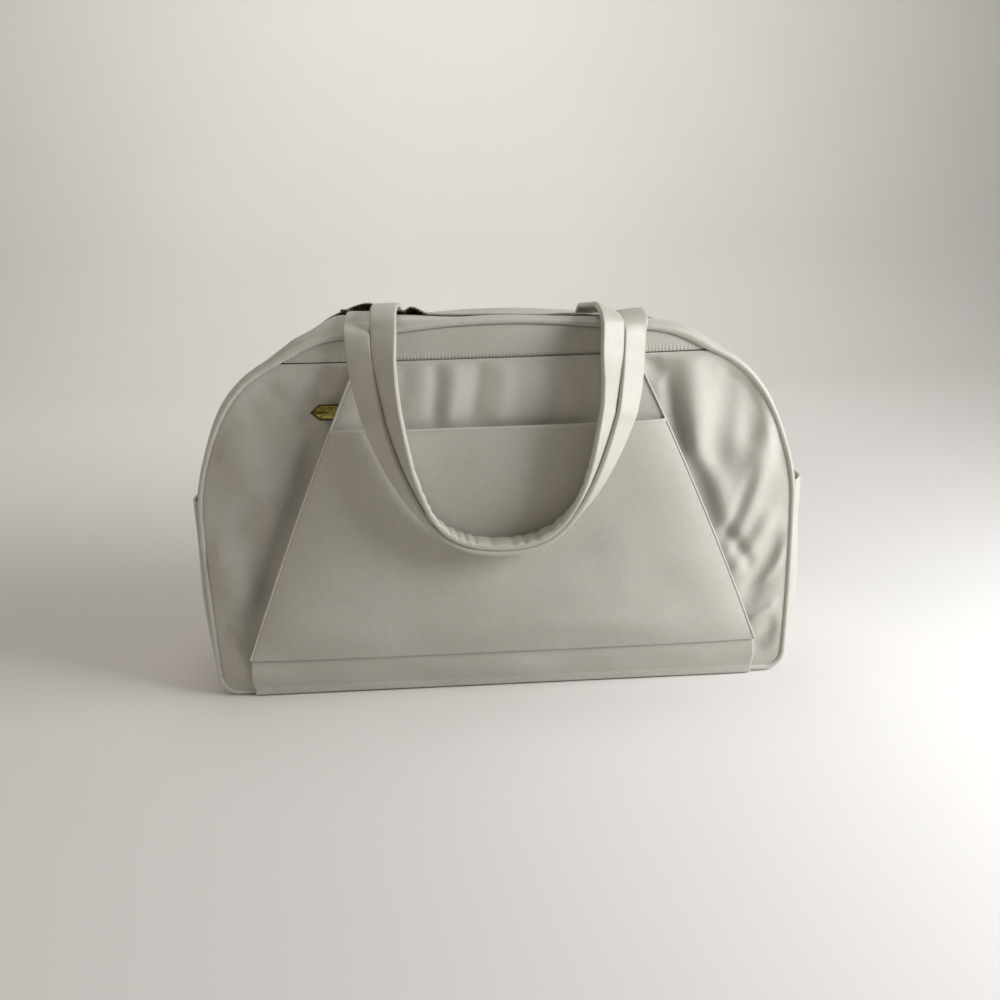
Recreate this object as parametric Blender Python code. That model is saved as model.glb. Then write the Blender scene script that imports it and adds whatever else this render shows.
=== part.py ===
"""Yoga bag: a soft dome-shaped carrier with a mat sleeve across its front.

Metres, +Z up, +X to the right seen from the front, the front faces -Y.
The origin is the centre of the flat base, on the surface that the bag stands on.
"""
import bpy
import bmesh
import numpy as np
from math import acos, asin, cos, pi, radians, sin, sqrt
from mathutils import Vector

# Dome outline, measured at the seam between the panels and the gusset
HALF_WIDTH = 0.2342
SEAM_HEIGHT = 0.292
WIDEST_HEIGHT = 0.145
TOP_RADIUS = 0.60
SIDE_RADIUS = 2.0
CORNER_RADIUS = 0.016
SEAM_LIFT = 0.002
CORNER_STEPS = 5
SIDE_STEPS = 4
SHOULDER_STEPS = 11
TOP_STEPS = 5

# Depth of the body
BASE_DEPTH = 0.170
TOP_DEPTH = 0.131
FRONT_CROWN = 0.008
BACK_CROWN = 0.006
RIM_RISE = 0.0045
SIDE_BULGE = 0.003
FADE_HEIGHT = 0.040

# Cloth and clearances
GAP = 0.0003
PANEL_WALL = 0.0025
GUSSET_WALL = 0.0022
LINING_WALL = 0.0006
BASE_WALL = 0.0046
BOARD_WALL = 0.0025
BOARD_MARGIN = 0.009
PIPING_RADIUS = 0.0021
PIPING_INSET = 0.0006
SEAM_CLEARANCE = 0.00045
BAND_DROP = 0.0275
BAND_HEIGHT = SEAM_HEIGHT - BAND_DROP
BAND_END_HEIGHT = 0.0012
PANEL_COLUMNS = 10

# Main zip
CHAIN_HALF = 0.0032
CHAIN_SLIT = 0.00075
TOOTH_THICK = 0.0022
TOOTH_PITCH = 0.0075
TOOTH_WIDTH = 0.0024
TOOTH_SLOPE = 0.0005
SPINE_INNER = 0.0023
TAPE_WIDTH = 0.0085
TAPE_THICK = 0.0008
END_TAB_LENGTH = 0.012
OPEN_HALF = 0.0045
ZIP_LEFT_RISE = 0.0001
ZIP_RIGHT_DROP = 0.0079
ZIP_LEFT_HEIGHT = SEAM_HEIGHT + ZIP_LEFT_RISE
ZIP_RIGHT_HEIGHT = SEAM_HEIGHT - ZIP_RIGHT_DROP
ZIP_STRAIGHT_HALF = 0.1175
ZIP_RAMP = 0.0425
SLIDER_REST = 0.106
SLIDER_LENGTH = 0.012
SLIDER_HALF_HEIGHT = 0.0025
SLIDER_HALF_WIDTH = 0.0046
CHANNEL_HALF = 0.0014
FLANGE_WIDTH = 0.0010
FLANGE_TIP = 0.00075
POST_HALF = 0.0004
BRIDGE_HALF_LENGTH = 0.0036
BRIDGE_HALF_WIDTH = 0.0012
BRIDGE_WALL = 0.0010
BRIDGE_SINK = 0.0004
PIVOT_CLEARANCE = 0.00015
PULL_THICK = 0.0015
MAIN_PULL_LENGTH = 0.0165
POCKET_PULL_LENGTH = 0.026
PULL_WIDTH = 0.0095
PULL_EYE_HALF = 0.0017
PULL_EYE_LENGTH = 0.0050
PULL_SHOULDER = 0.0070

# Front pocket, its zip and the slot that the zip is framed in
POCKET_ZIP_DROP = 0.036
POCKET_ZIP_HEIGHT = BAND_HEIGHT - POCKET_ZIP_DROP
POCKET_ZIP_HALF = 0.118
POCKET_SLIDER_REST = 0.1135
POCKET_SLOT_MARGIN = 0.004
POCKET_BAG_HALF = 0.110
POCKET_BAG_BOTTOM = 0.085
POCKET_BAG_RISE = 0.0175
POCKET_BAG_TOP = POCKET_ZIP_HEIGHT + POCKET_BAG_RISE
POCKET_BAG_DEPTH = 0.0070

# Mat sleeve, its wrap and the slip pocket on it
SLEEVE_TOP_HALF = 0.1055
SLEEVE_FOLD_HALF = 0.2020
FOLD_HEIGHT = 0.0335
SLEEVE_GAP = 0.0110
SLEEVE_RISE = 0.045
FOLD_GAP = 0.0075
SLEEVE_WALL = 0.0018
WRAP_FOOT = 0.0054
HEM_DROP = 0.0477
HEM_HEIGHT = BAND_HEIGHT - HEM_DROP
POCKET_GAP = 0.0066
POCKET_WALL = 0.0016
POCKET_RISE = 0.030
BINDING_RADIUS = 0.0011
BINDING_DEPTH = 0.0042
SIDE_POCKET_HEIGHT = 0.157
SIDE_POCKET_FOOT = 0.030
SIDE_POCKET_GAP = 0.0062
SIDE_POCKET_RISE = 0.016
SIDE_POCKET_WALL = 0.0016
SIDE_POCKET_EDGE = 0.0022

# Handles
STRAP_WIDTH = 0.0205
STRAP_THICK = 0.0030
STRAP_GAP = 0.0006
STRAP_CLEARANCE = 0.0007
HEM_LEAD = 0.010
LOOP_HALF = 0.1027
LOOP_DROP = 0.1626
FRONT_HINGE_DROP = 0.0034
FRONT_HINGE_HEIGHT = SEAM_HEIGHT - FRONT_HINGE_DROP
HINGE_CLEARANCE = 0.00035
REAR_HINGE_BACK = 0.034
REAR_HINGE_RISE = 0.0048
REAR_HINGE_HEIGHT = SEAM_HEIGHT + REAR_HINGE_RISE
LEFT_CREST_RISE = 0.0040
RIGHT_CREST_DROP = 0.0023
LEFT_CREST_HEIGHT = REAR_HINGE_HEIGHT + LEFT_CREST_RISE
RIGHT_CREST_HEIGHT = REAR_HINGE_HEIGHT - RIGHT_CREST_DROP
CREST_BACK = 0.015
TAB_CLEARANCE = 0.0006
FRONT_TAB_LENGTH = 0.044
REAR_TAB_LENGTH = 0.026
REAR_TAB_LEAD = 0.004

# Shares of the sizes that they follow, and the strap's turn
RIM_SHARE = 0.30
FLAT_SHARE = 0.75
CROWN_POWER = 4
TWIST_START_SHARE = 0.16
TWIST_END_SHARE = 0.90
TWIST_MOST = radians(82)
ZIP_END_STATION = CORNER_STEPS + SIDE_STEPS + 3
PHASES = {"front": 0.0, "rear": 0.5}
SIDE_FACTOR = {"left": -1, "right": 1, "front": -1, "rear": 1}


# Small helpers

def smooth(t):
    t = np.clip(t, 0, 1)
    return t * t * (3 - 2 * t)


def unit(v):
    return v / np.linalg.norm(v, axis=-1, keepdims=True)


def material(name, color, roughness, metallic=0.0):
    mat = bpy.data.materials.new(name)
    mat.use_nodes = True
    shader = mat.node_tree.nodes["Principled BSDF"]
    shader.inputs["Base Color"].default_value = (*color, 1.0)
    shader.inputs["Roughness"].default_value = roughness
    shader.inputs["Metallic"].default_value = metallic
    mat.diffuse_color = (*color, 1.0)
    return mat


def add_object(name, points, faces, mat, origin=(0, 0, 0)):
    """Make one closed mesh object whose origin is at the given point."""
    mesh = bpy.data.meshes.new(name)
    mesh.from_pydata([Vector(p) - Vector(origin) for p in points], [], faces)
    work = bmesh.new()
    work.from_mesh(mesh)
    bmesh.ops.recalc_face_normals(work, faces=work.faces)
    work.to_mesh(mesh)
    work.free()
    mesh.materials.append(mat)
    mesh.shade_smooth()
    mesh.set_sharp_from_angle(angle=radians(35))
    obj = bpy.data.objects.new(name, mesh)
    obj.location = origin
    bpy.context.collection.objects.link(obj)
    return obj


def grid_faces(rows, cols, start, flip):
    """Triangles of a grid, all split the same way, so that parallel sheets stay parallel."""
    faces = []
    for i in range(rows - 1):
        for j in range(cols - 1):
            a = start + i * cols + j
            for face in ((a, a + 1, a + cols + 1), (a, a + cols + 1, a + cols)):
                faces.append(face[::-1] if flip else face)
    return faces


def shell_data(outer, inner):
    """Points and faces of a closed sheet between two grids of the same shape."""
    rows, cols = outer.shape[:2]
    count = rows * cols
    points = np.concatenate([outer.reshape(-1, 3), inner.reshape(-1, 3)])
    faces = grid_faces(rows, cols, 0, False) + grid_faces(rows, cols, count, True)
    ring = [j for j in range(cols)]
    ring += [i * cols + cols - 1 for i in range(1, rows)]
    ring += [(rows - 1) * cols + j for j in range(cols - 2, -1, -1)]
    ring += [i * cols for i in range(rows - 2, 0, -1)]
    for a, b in zip(ring, ring[1:] + ring[:1]):
        faces.append((b, a, a + count, b + count))
    return points, faces


def add_shell(name, outer, inner, mat, origin=(0, 0, 0)):
    points, faces = shell_data(outer, inner)
    return add_object(name, points.tolist(), faces, mat, origin)


def sweep_data(centres, widths, heights, section):
    """A closed tube: section pairs scale the width and height vectors at each centre."""
    section = np.asarray(section, float)
    rings = (centres[:, None] + section[None, :, :1] * widths[:, None]
             + section[None, :, 1:] * heights[:, None])
    rows, cols = rings.shape[:2]
    faces = []
    for i in range(rows - 1):
        for j in range(cols):
            a, b = i * cols + j, i * cols + (j + 1) % cols
            faces.append((a, b, b + cols, a + cols))
    faces.append(tuple(range(cols))[::-1])
    faces.append(tuple((rows - 1) * cols + j for j in range(cols)))
    return rings.reshape(-1, 3), faces


def extrude_data(outline, origin, across, up, along, start, stop):
    """A straight prism: outline pairs lie on across and up, and it runs along."""
    outline = np.asarray(outline, float)
    ends = [origin + outline[:, :1] * across + outline[:, 1:] * up + along * t for t in (start, stop)]
    count = len(outline)
    faces = [(j, (j + 1) % count, count + (j + 1) % count, count + j) for j in range(count)]
    faces += [tuple(range(count))[::-1], tuple(range(count, 2 * count))]
    return np.concatenate(ends), faces


def guide(name, points, faces):
    """A hidden solid that another object is joined with or cut by."""
    mesh = bpy.data.meshes.new(name)
    mesh.from_pydata([tuple(p) for p in points], [], faces)
    work = bmesh.new()
    work.from_mesh(mesh)
    bmesh.ops.recalc_face_normals(work, faces=work.faces)
    work.to_mesh(mesh)
    work.free()
    obj = bpy.data.objects.new(name, mesh)
    obj.display_type = "WIRE"
    obj.hide_render = True
    bpy.context.collection.objects.link(obj)
    return obj


def combine(obj, other, operation):
    mod = obj.modifiers.new(operation.lower(), "BOOLEAN")
    mod.operation = operation
    mod.solver = "EXACT"
    mod.object = other


# Outline of the dome as tangent arcs

TOP_CENTRE = SEAM_HEIGHT - TOP_RADIUS
WIDEST_ABOVE = WIDEST_HEIGHT - TOP_CENTRE
SHOULDER_RADIUS = ((TOP_RADIUS ** 2 - HALF_WIDTH ** 2 - WIDEST_ABOVE ** 2)
                   / (2 * (TOP_RADIUS - HALF_WIDTH)))
SHOULDER_CENTRE = HALF_WIDTH - SHOULDER_RADIUS
SHOULDER_END = acos(SHOULDER_CENTRE / (TOP_RADIUS - SHOULDER_RADIUS))
CORNER_CENTRE_Z = SEAM_LIFT + CORNER_RADIUS
SIDE_DROP = WIDEST_HEIGHT - CORNER_CENTRE_Z
SIDE_START = -asin(SIDE_DROP / (SIDE_RADIUS - CORNER_RADIUS))
CORNER_CENTRE_X = HALF_WIDTH - SIDE_RADIUS + (SIDE_RADIUS - CORNER_RADIUS) * cos(SIDE_START)


def half_outline():
    """Stations from the base corner up to the middle of the top: places and normals."""
    arcs = [((CORNER_CENTRE_X, CORNER_CENTRE_Z), CORNER_RADIUS, -pi / 2, SIDE_START, CORNER_STEPS),
            ((HALF_WIDTH - SIDE_RADIUS, WIDEST_HEIGHT), SIDE_RADIUS, SIDE_START, 0, SIDE_STEPS),
            ((SHOULDER_CENTRE, WIDEST_HEIGHT), SHOULDER_RADIUS, 0, SHOULDER_END, SHOULDER_STEPS),
            ((0, TOP_CENTRE), TOP_RADIUS, SHOULDER_END, pi / 2, TOP_STEPS)]
    places, normals = [], []
    for number, (centre, radius, first, last, steps) in enumerate(arcs):
        angles = np.linspace(first, last, steps + 1)[(1 if number else 0):]
        normal = np.stack([np.cos(angles), np.sin(angles)], axis=1)
        normals.append(normal)
        places.append(np.array(centre) + radius * normal)
    return np.concatenate(places), np.concatenate(normals)


HALF_PLACES, HALF_NORMALS = half_outline()
MIRROR = np.array([-1, 1])
PLACES = np.concatenate([HALF_PLACES * MIRROR, HALF_PLACES[-2::-1]])
NORMALS = np.concatenate([HALF_NORMALS * MIRROR, HALF_NORMALS[-2::-1]])
LENGTHS = np.concatenate([[0], np.cumsum(np.linalg.norm(np.diff(PLACES, axis=0), axis=1))])
LAST = len(LENGTHS) - 1


def outline_at(length):
    """Place and outward normal at a length along the outline, left base corner to right."""
    place = np.stack([np.interp(length, LENGTHS, PLACES[:, k]) for k in (0, 1)], axis=-1)
    normal = np.stack([np.interp(length, LENGTHS, NORMALS[:, k]) for k in (0, 1)], axis=-1)
    return place, unit(normal)


def length_at_x(x):
    """Length along the outline of a point of the top, which is met once there."""
    top = slice(ZIP_END_STATION, LAST - ZIP_END_STATION + 1)
    return float(np.interp(x, PLACES[top, 0], LENGTHS[top]))


def top_z(x):
    """Height of the outline's upper side at x."""
    return np.interp(np.abs(x), HALF_PLACES[::-1, 0][:LAST // 2 - CORNER_STEPS - SIDE_STEPS + 1],
                     HALF_PLACES[::-1, 1][:LAST // 2 - CORNER_STEPS - SIDE_STEPS + 1])


def half_width_at(z):
    return np.interp(z, HALF_PLACES[:, 1], HALF_PLACES[:, 0])


def half_depth(z):
    return BASE_DEPTH / 2 + (TOP_DEPTH - BASE_DEPTH) / 2 * np.asarray(z) / SEAM_HEIGHT


def inset_half_width(z, inset):
    """Half width at height z of the outline drawn in by the inset."""
    places = HALF_PLACES - inset * HALF_NORMALS
    return float(np.interp(z, places[:, 1], places[:, 0]))


OPEN_END = length_at_x(-SLIDER_REST - SLIDER_LENGTH / 2)
ZIP_CORNERS = [length_at_x(-ZIP_STRAIGHT_HALF), OPEN_END, length_at_x(ZIP_STRAIGHT_HALF)]
ALL_LENGTHS = np.sort(np.concatenate([LENGTHS, ZIP_CORNERS]))


def span_lengths(first, last):
    """Lengths of the ends and of every station between them."""
    inside = ALL_LENGTHS[(ALL_LENGTHS > first + GAP) & (ALL_LENGTHS < last - GAP)]
    return np.concatenate([[first], inside, [last]])


# Surfaces that the panels, gusset and zip share

ZIP_SLOPE = (ZIP_RIGHT_HEIGHT - ZIP_LEFT_HEIGHT) / (2 * SLIDER_REST)
ZIP_MID_HEIGHT = (ZIP_RIGHT_HEIGHT + ZIP_LEFT_HEIGHT) / 2
ZIP_FIRST = LENGTHS[ZIP_END_STATION]
ZIP_LAST = LENGTHS[LAST - ZIP_END_STATION]
STRIP_EDGE = CHAIN_HALF + GAP + TAPE_WIDTH + GAP
NOTCH = PIPING_INSET + PIPING_RADIUS + SEAM_CLEARANCE


def zip_lift(x):
    """How far the zip's straight run stands above or below the outline's top."""
    line = ZIP_MID_HEIGHT + ZIP_SLOPE * x - top_z(x)
    return line * (1 - smooth((np.abs(x) - ZIP_STRAIGHT_HALF) / ZIP_RAMP))


def open_half(length):
    """Half of the gap between the parted sides of the zip, left of its slider."""
    share = np.clip((length - ZIP_FIRST) / (OPEN_END - ZIP_FIRST), 0, 1)
    return OPEN_HALF * np.sin(pi * share)


def gusset_point(length, y, offset):
    """The gusset's outer face at a length along the outline and a depth y."""
    length, y = np.broadcast_arrays(np.asarray(length, float), np.asarray(y, float))
    place, normal = outline_at(length)
    x, z = place[..., 0], place[..., 1]
    inward = 1 - np.abs(y) / half_depth(z)
    rim = np.sin(pi / 2 * np.clip(inward / RIM_SHARE, 0, 1))
    middle = smooth(inward / FLAT_SHARE)
    above = z > WIDEST_HEIGHT
    bulge = SIDE_BULGE * np.where(above, 1 - smooth((z - WIDEST_HEIGHT) / (SEAM_HEIGHT - WIDEST_HEIGHT)), 1)
    fade = smooth((z - SEAM_LIFT) / FADE_HEIGHT)
    rise = fade * (RIM_RISE * rim * (1 - middle) + bulge * middle) + offset
    lift = np.where(above, zip_lift(x), 0) * middle
    return np.stack([x + normal[..., 0] * rise, y, z + normal[..., 1] * rise + lift], axis=-1)


def panel_y(x, z, side):
    """Depth of the front (-1) or back (+1) panel's outer face."""
    crown = FRONT_CROWN if side < 0 else BACK_CROWN
    across = 1 - np.clip(np.abs(x) / half_width_at(z), 0, 1) ** CROWN_POWER
    share = np.clip((z - SEAM_LIFT) / (top_z(x) - SEAM_LIFT), 0, 1)
    upward = 1 - np.abs(2 * share - 1) ** CROWN_POWER
    return side * (half_depth(z) + crown * across * upward)


def panel_grid(inset, top, columns):
    """Rows of a panel from its lowest edge up to the height top."""
    places = HALF_PLACES - inset * HALF_NORMALS
    keep = (places[:, 1] < top - GUSSET_WALL) & (np.arange(len(places)) <= LAST // 2)
    heights = np.append(places[keep, 1], top)
    halves = np.append(places[keep, 0], inset_half_width(top, inset))
    share = np.linspace(-1, 1, columns + 1)
    return share[None, :] * halves[:, None], np.repeat(heights[:, None], columns + 1, axis=1)


def band_grid(inset, bottom, rows):
    """Columns of the band above a level seam, under the inset outline."""
    places = HALF_PLACES - inset * HALF_NORMALS
    ends = inset_half_width(bottom + BAND_END_HEIGHT, inset)
    inside = places[(places[:, 0] < ends - BAND_END_HEIGHT) & (places[:, 1] > bottom)]
    x = np.concatenate([[-ends], -inside[:, 0], inside[:-1, 0][::-1], [ends]])
    tops = np.concatenate([[bottom + BAND_END_HEIGHT], inside[:, 1], inside[:-1, 1][::-1],
                           [bottom + BAND_END_HEIGHT]])
    share = np.linspace(0, 1, rows + 1)
    z = bottom + share[:, None] * (tops - bottom)[None, :]
    return np.repeat(x[None, :], rows + 1, axis=0), z


def add_panel(name, x, z, side, depth_in, wall, mat):
    """A sheet that follows a panel's face, set in by depth_in."""
    y = panel_y(x, z, side)
    outer = np.stack([x, y - side * depth_in, z], axis=-1)
    inner = np.stack([x, y - side * (depth_in + wall), z], axis=-1)
    return add_shell(name, outer, inner, mat)


def box_points(low, high):
    corners = [(x, y, z) for x in (low[0], high[0]) for y in (low[1], high[1]) for z in (low[2], high[2])]
    faces = [(0, 1, 3, 2), (4, 6, 7, 5), (0, 4, 5, 1), (2, 3, 7, 6), (0, 2, 6, 4), (1, 5, 7, 3)]
    return corners, faces


# Body of the bag

def make_body(cloth):
    for side_name in ("front", "back"):
        side = -1 if side_name == "front" else 1
        x, z = panel_grid(NOTCH, BAND_HEIGHT - GAP / 2, PANEL_COLUMNS)
        panel = add_panel(side_name + "_panel", x, z, side, 0, PANEL_WALL, cloth)
        if side < 0:
            cut_zip_slot(panel, "panel_slot_cutter")
        x, z = band_grid(NOTCH, BAND_HEIGHT + GAP / 2, 2)
        add_panel(side_name + "_band", x, z, side, 0, PANEL_WALL, cloth)

    for side_name in ("left", "right"):
        lengths = end_lengths(side_name, GAP / 2)
        y = end_columns(lengths, NOTCH)
        outer = gusset_point(lengths[:, None], y, 0)
        inner = gusset_point(lengths[:, None], y, -GUSSET_WALL)
        add_shell(side_name + "_side_gusset", outer, inner, cloth)

    for side_name in ("front", "rear"):
        lengths = span_lengths(ZIP_FIRST + GAP / 2, ZIP_LAST - GAP / 2)
        y = SIDE_FACTOR[side_name] * strip_columns(lengths, NOTCH)
        outer = gusset_point(lengths[:, None], y, 0)
        inner = gusset_point(lengths[:, None], y, -GUSSET_WALL)
        add_shell(side_name + "_zip_strip", outer, inner, cloth)


def end_lengths(side_name, margin):
    """Stations of the plain gusset below the zip on one end."""
    if side_name == "left":
        return span_lengths(margin, ZIP_FIRST - margin)
    return span_lengths(ZIP_LAST + margin, LENGTHS[-1] - margin)


def end_columns(lengths, edge):
    """Depths across the whole gusset, the outermost held in from the seam by edge."""
    depth = half_depth(outline_at(lengths)[0][:, 1])[:, None]
    y = (depth - NOTCH) * np.linspace(-1, 1, 7)[None, :]
    return np.clip(y, edge - depth, depth - edge)


def strip_columns(lengths, edge):
    """Depths across the gusset on one side of the zip."""
    depth = half_depth(outline_at(lengths)[0][:, 1])[:, None]
    near = STRIP_EDGE + open_half(lengths)[:, None]
    y = near + (depth - NOTCH - near) * np.linspace(0, 1, 6)[None, :]
    return np.minimum(y, depth - edge)


def cut_zip_slot(obj, name):
    low, high = zip_slot_box()
    cutter = guide(name, *box_points(low, high))
    combine(obj, cutter, "DIFFERENCE")


def zip_slot_box():
    half = STRIP_EDGE
    reach = POCKET_ZIP_HALF + POCKET_SLOT_MARGIN
    near = -half_depth(POCKET_ZIP_HEIGHT) + BASE_DEPTH / 4
    return (-reach, -BASE_DEPTH, POCKET_ZIP_HEIGHT - half), (reach, near, POCKET_ZIP_HEIGHT + half)


def make_base(cloth, board):
    reach = CORNER_CENTRE_X - GAP
    depth = BASE_DEPTH / 2
    points, faces = box_points((-reach, -depth, 0), (reach, depth, BASE_WALL))
    add_object("base_panel", points, faces, cloth)
    level = BASE_WALL + GAP
    side = reach - BOARD_MARGIN
    depth = BASE_DEPTH / 2 - PANEL_WALL - LINING_WALL - 3 * GAP
    points, faces = box_points((-side, -depth, level), (side, depth, level + BOARD_WALL))
    add_object("base_board", points, faces, board)


def make_piping(trim):
    angles = np.linspace(0, 2 * pi, 6, endpoint=False)
    section = np.stack([np.cos(angles), np.sin(angles)], axis=1)
    for side_name in ("front", "rear"):
        side = SIDE_FACTOR[side_name]
        inward = PLACES - PIPING_INSET * NORMALS
        y = side * (half_depth(PLACES[:, 1]) - PIPING_INSET)
        centres = np.stack([inward[:, 0], y, inward[:, 1]], axis=1)
        radial = np.stack([NORMALS[:, 0], 0 * y, NORMALS[:, 1]], axis=1) * PIPING_RADIUS
        depthward = np.zeros_like(radial)
        depthward[:, 1] = PIPING_RADIUS
        points, faces = sweep_data(centres, radial, depthward, section)
        add_object(side_name + "_piping", points, faces, trim)


def make_lining(lining):
    inset = GUSSET_WALL + GAP + LINING_WALL + GAP + GAP
    depth_in = PANEL_WALL + GAP
    for side_name in ("front", "back"):
        side = -1 if side_name == "front" else 1
        x, z = panel_grid(NOTCH, BAND_HEIGHT - GAP / 2, PANEL_COLUMNS)
        y = panel_y(x, z, side) - side * depth_in
        reach = np.array([inset_half_width(level, inset) for level in z[:, 0]])[:, None]
        x = np.clip(x, -reach, reach)
        outer = np.stack([x, y, z], axis=-1)
        inner = np.stack([x, y - side * LINING_WALL, z], axis=-1)
        sheet = add_shell("lining_" + side_name, outer, inner, lining)
        if side < 0:
            cut_zip_slot(sheet, "lining_slot_cutter")
    edge_in = depth_in + LINING_WALL + GAP
    top, under = -GUSSET_WALL - GAP, -GUSSET_WALL - GAP - LINING_WALL
    for side_name in ("left", "right"):
        lengths = end_lengths(side_name, BASE_WALL)
        y = end_columns(lengths, edge_in)
        outer = gusset_point(lengths[:, None], y, top)
        inner = gusset_point(lengths[:, None], y, under)
        add_shell("lining_end_" + side_name, outer, inner, lining)
    for side_name in ("front", "rear"):
        lengths = span_lengths(ZIP_FIRST + GAP / 2, ZIP_LAST - GAP / 2)
        y = SIDE_FACTOR[side_name] * strip_columns(lengths, edge_in)
        outer = gusset_point(lengths[:, None], y, top)
        inner = gusset_point(lengths[:, None], y, under)
        add_shell("lining_top_" + side_name, outer, inner, lining)
    level = BASE_WALL + GAP + BOARD_WALL + GAP
    reach = CORNER_CENTRE_X - GAP - BOARD_MARGIN
    depth = BASE_DEPTH / 2 - edge_in
    points, faces = box_points((-reach, -depth, level), (reach, depth, level + LINING_WALL))
    add_object("lining_base", points, faces, lining)


# Main zip: tapes, teeth, end tabs, slider and pull

def comb_stations(first, last, phase, inner, outer):
    """Stations along a row of teeth and how far in towards the middle each one reaches."""
    count = int((last - first) / TOOTH_PITCH)
    pitch = (last - first) / count
    starts = first + GAP + (np.arange(count) + phase) * pitch
    offsets = np.array([0, TOOTH_SLOPE, TOOTH_SLOPE + TOOTH_WIDTH, TOOTH_SLOPE + TOOTH_WIDTH + TOOTH_SLOPE])
    stations = (starts[:, None] + offsets).ravel()
    reach = np.tile([outer, inner, inner, outer], count)
    return np.concatenate([[first], stations, [last]]), np.concatenate([[outer], reach, [outer]])


def zip_surface(lengths, offset):
    """Middle line of the gusset's zip, set out by an offset, with straight runs between stations."""
    spans = span_lengths(ZIP_FIRST, ZIP_LAST)
    line = gusset_point(spans, 0 * spans, offset)
    return np.stack([np.interp(lengths, spans, line[:, k]) for k in range(3)], axis=-1)


def make_main_zip(tape, teeth, cloth):
    first = ZIP_FIRST + END_TAB_LENGTH + GAP
    last = ZIP_LAST - END_TAB_LENGTH - GAP
    for side_name in ("front", "rear"):
        side = SIDE_FACTOR[side_name]
        spans = span_lengths(first, last)
        near = CHAIN_HALF + GAP + open_half(spans)
        y = side * np.stack([near, near + TAPE_WIDTH], axis=1)
        outer = gusset_point(spans[:, None], y, (TAPE_THICK - GUSSET_WALL) / 2)
        inner = gusset_point(spans[:, None], y, (-TAPE_THICK - GUSSET_WALL) / 2)
        add_shell(side_name + "_zip_tape", outer, inner, tape)

        stations, reach = comb_stations(first, last, PHASES[side_name], CHAIN_SLIT, SPINE_INNER)
        sheets = []
        for offset in (TOOTH_THICK / 2, -TOOTH_THICK / 2):
            line = zip_surface(stations, offset - GUSSET_WALL / 2)
            grid = np.repeat(line[:, None], 2, axis=1)
            grid[:, 0, 1] = side * (reach + open_half(stations))
            grid[:, 1, 1] = side * (CHAIN_HALF + open_half(stations))
            sheets.append(grid)
        add_shell(side_name + "_zip_teeth", sheets[0], sheets[1], teeth)

    for side_name, start, stop in (("left", ZIP_FIRST + GAP / 2, ZIP_FIRST + END_TAB_LENGTH),
                                   ("right", ZIP_LAST - END_TAB_LENGTH, ZIP_LAST - GAP / 2)):
        spans = span_lengths(start, stop)
        reach = STRIP_EDGE - GAP + np.zeros_like(spans)
        y = reach[:, None] * np.array([-1, 0, 1])[None, :]
        outer = gusset_point(spans[:, None], y, 0)
        inner = gusset_point(spans[:, None], y, -GUSSET_WALL)
        add_shell("zip_end_tab_" + side_name, outer, inner, cloth)


def add_slider(name, origin, along, across, up, mat):
    """A slider whose plates ride above and below the chain, with a bridge for its pull."""
    right = [(POST_HALF, CHANNEL_HALF), (SLIDER_HALF_WIDTH - FLANGE_WIDTH, CHANNEL_HALF),
             (SLIDER_HALF_WIDTH - FLANGE_WIDTH, FLANGE_TIP), (SLIDER_HALF_WIDTH, FLANGE_TIP),
             (SLIDER_HALF_WIDTH, SLIDER_HALF_HEIGHT - FLANGE_WIDTH / 2),
             (SLIDER_HALF_WIDTH - FLANGE_WIDTH / 2, SLIDER_HALF_HEIGHT)]
    upper = [(-a, b) for a, b in right] + right[::-1]
    outline = upper + [(a, -b) for a, b in upper[::-1]]
    points, faces = extrude_data(outline, origin, across, up, along, -SLIDER_LENGTH / 2, SLIDER_LENGTH / 2)
    obj = add_object(name, points.tolist(), faces, mat, tuple(origin))
    foot = SLIDER_HALF_HEIGHT - BRIDGE_SINK
    inner = pivot_height() + pivot_swing() + PIVOT_CLEARANCE
    reach = BRIDGE_HALF_LENGTH
    arch = [(-reach, foot), (-reach + BRIDGE_WALL, foot), (-reach + BRIDGE_WALL, inner),
            (reach - BRIDGE_WALL, inner), (reach - BRIDGE_WALL, foot), (reach, foot),
            (reach, inner), (reach - BRIDGE_WALL, inner + BRIDGE_WALL),
            (-reach + BRIDGE_WALL, inner + BRIDGE_WALL), (-reach, inner)]
    points, faces = extrude_data(arch, origin, along, up, across, -BRIDGE_HALF_WIDTH, BRIDGE_HALF_WIDTH)
    combine(obj, guide(name + "_bridge_guide", points, faces), "UNION")
    return obj


def pivot_swing():
    """Radius that the pull's square end bar sweeps."""
    return PULL_THICK / 2 * sqrt(2)


def pivot_height():
    return SLIDER_HALF_HEIGHT + GAP + pivot_swing()


def add_pull(name, length, origin, along, across, up, mat):
    """A tongue that lies against the slider, its eye round the bridge."""
    half = PULL_WIDTH / 2
    near = PULL_THICK / 2
    tip = near - length
    eye = PULL_EYE_HALF + PULL_THICK
    outline = [(near, -eye), (near, eye), (-PULL_EYE_LENGTH, eye), (-PULL_SHOULDER, half),
               (tip + PULL_SHOULDER, half), (tip, half / 3), (tip, -half / 3),
               (tip + PULL_SHOULDER, -half), (-PULL_SHOULDER, -half), (-PULL_EYE_LENGTH, -eye)]
    pivot = origin + up * pivot_height()
    points, faces = extrude_data(outline, pivot, along, across, up, -PULL_THICK / 2, PULL_THICK / 2)
    obj = add_object(name, points.tolist(), faces, mat, tuple(pivot))
    slot = [(-near, -PULL_EYE_HALF), (-near, PULL_EYE_HALF),
            (-PULL_EYE_LENGTH, PULL_EYE_HALF), (-PULL_EYE_LENGTH, -PULL_EYE_HALF)]
    points, faces = extrude_data(slot, pivot, along, across, up, -PULL_THICK, PULL_THICK)
    combine(obj, guide(name + "_eye_cutter", points, faces), "DIFFERENCE")
    return obj


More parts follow.
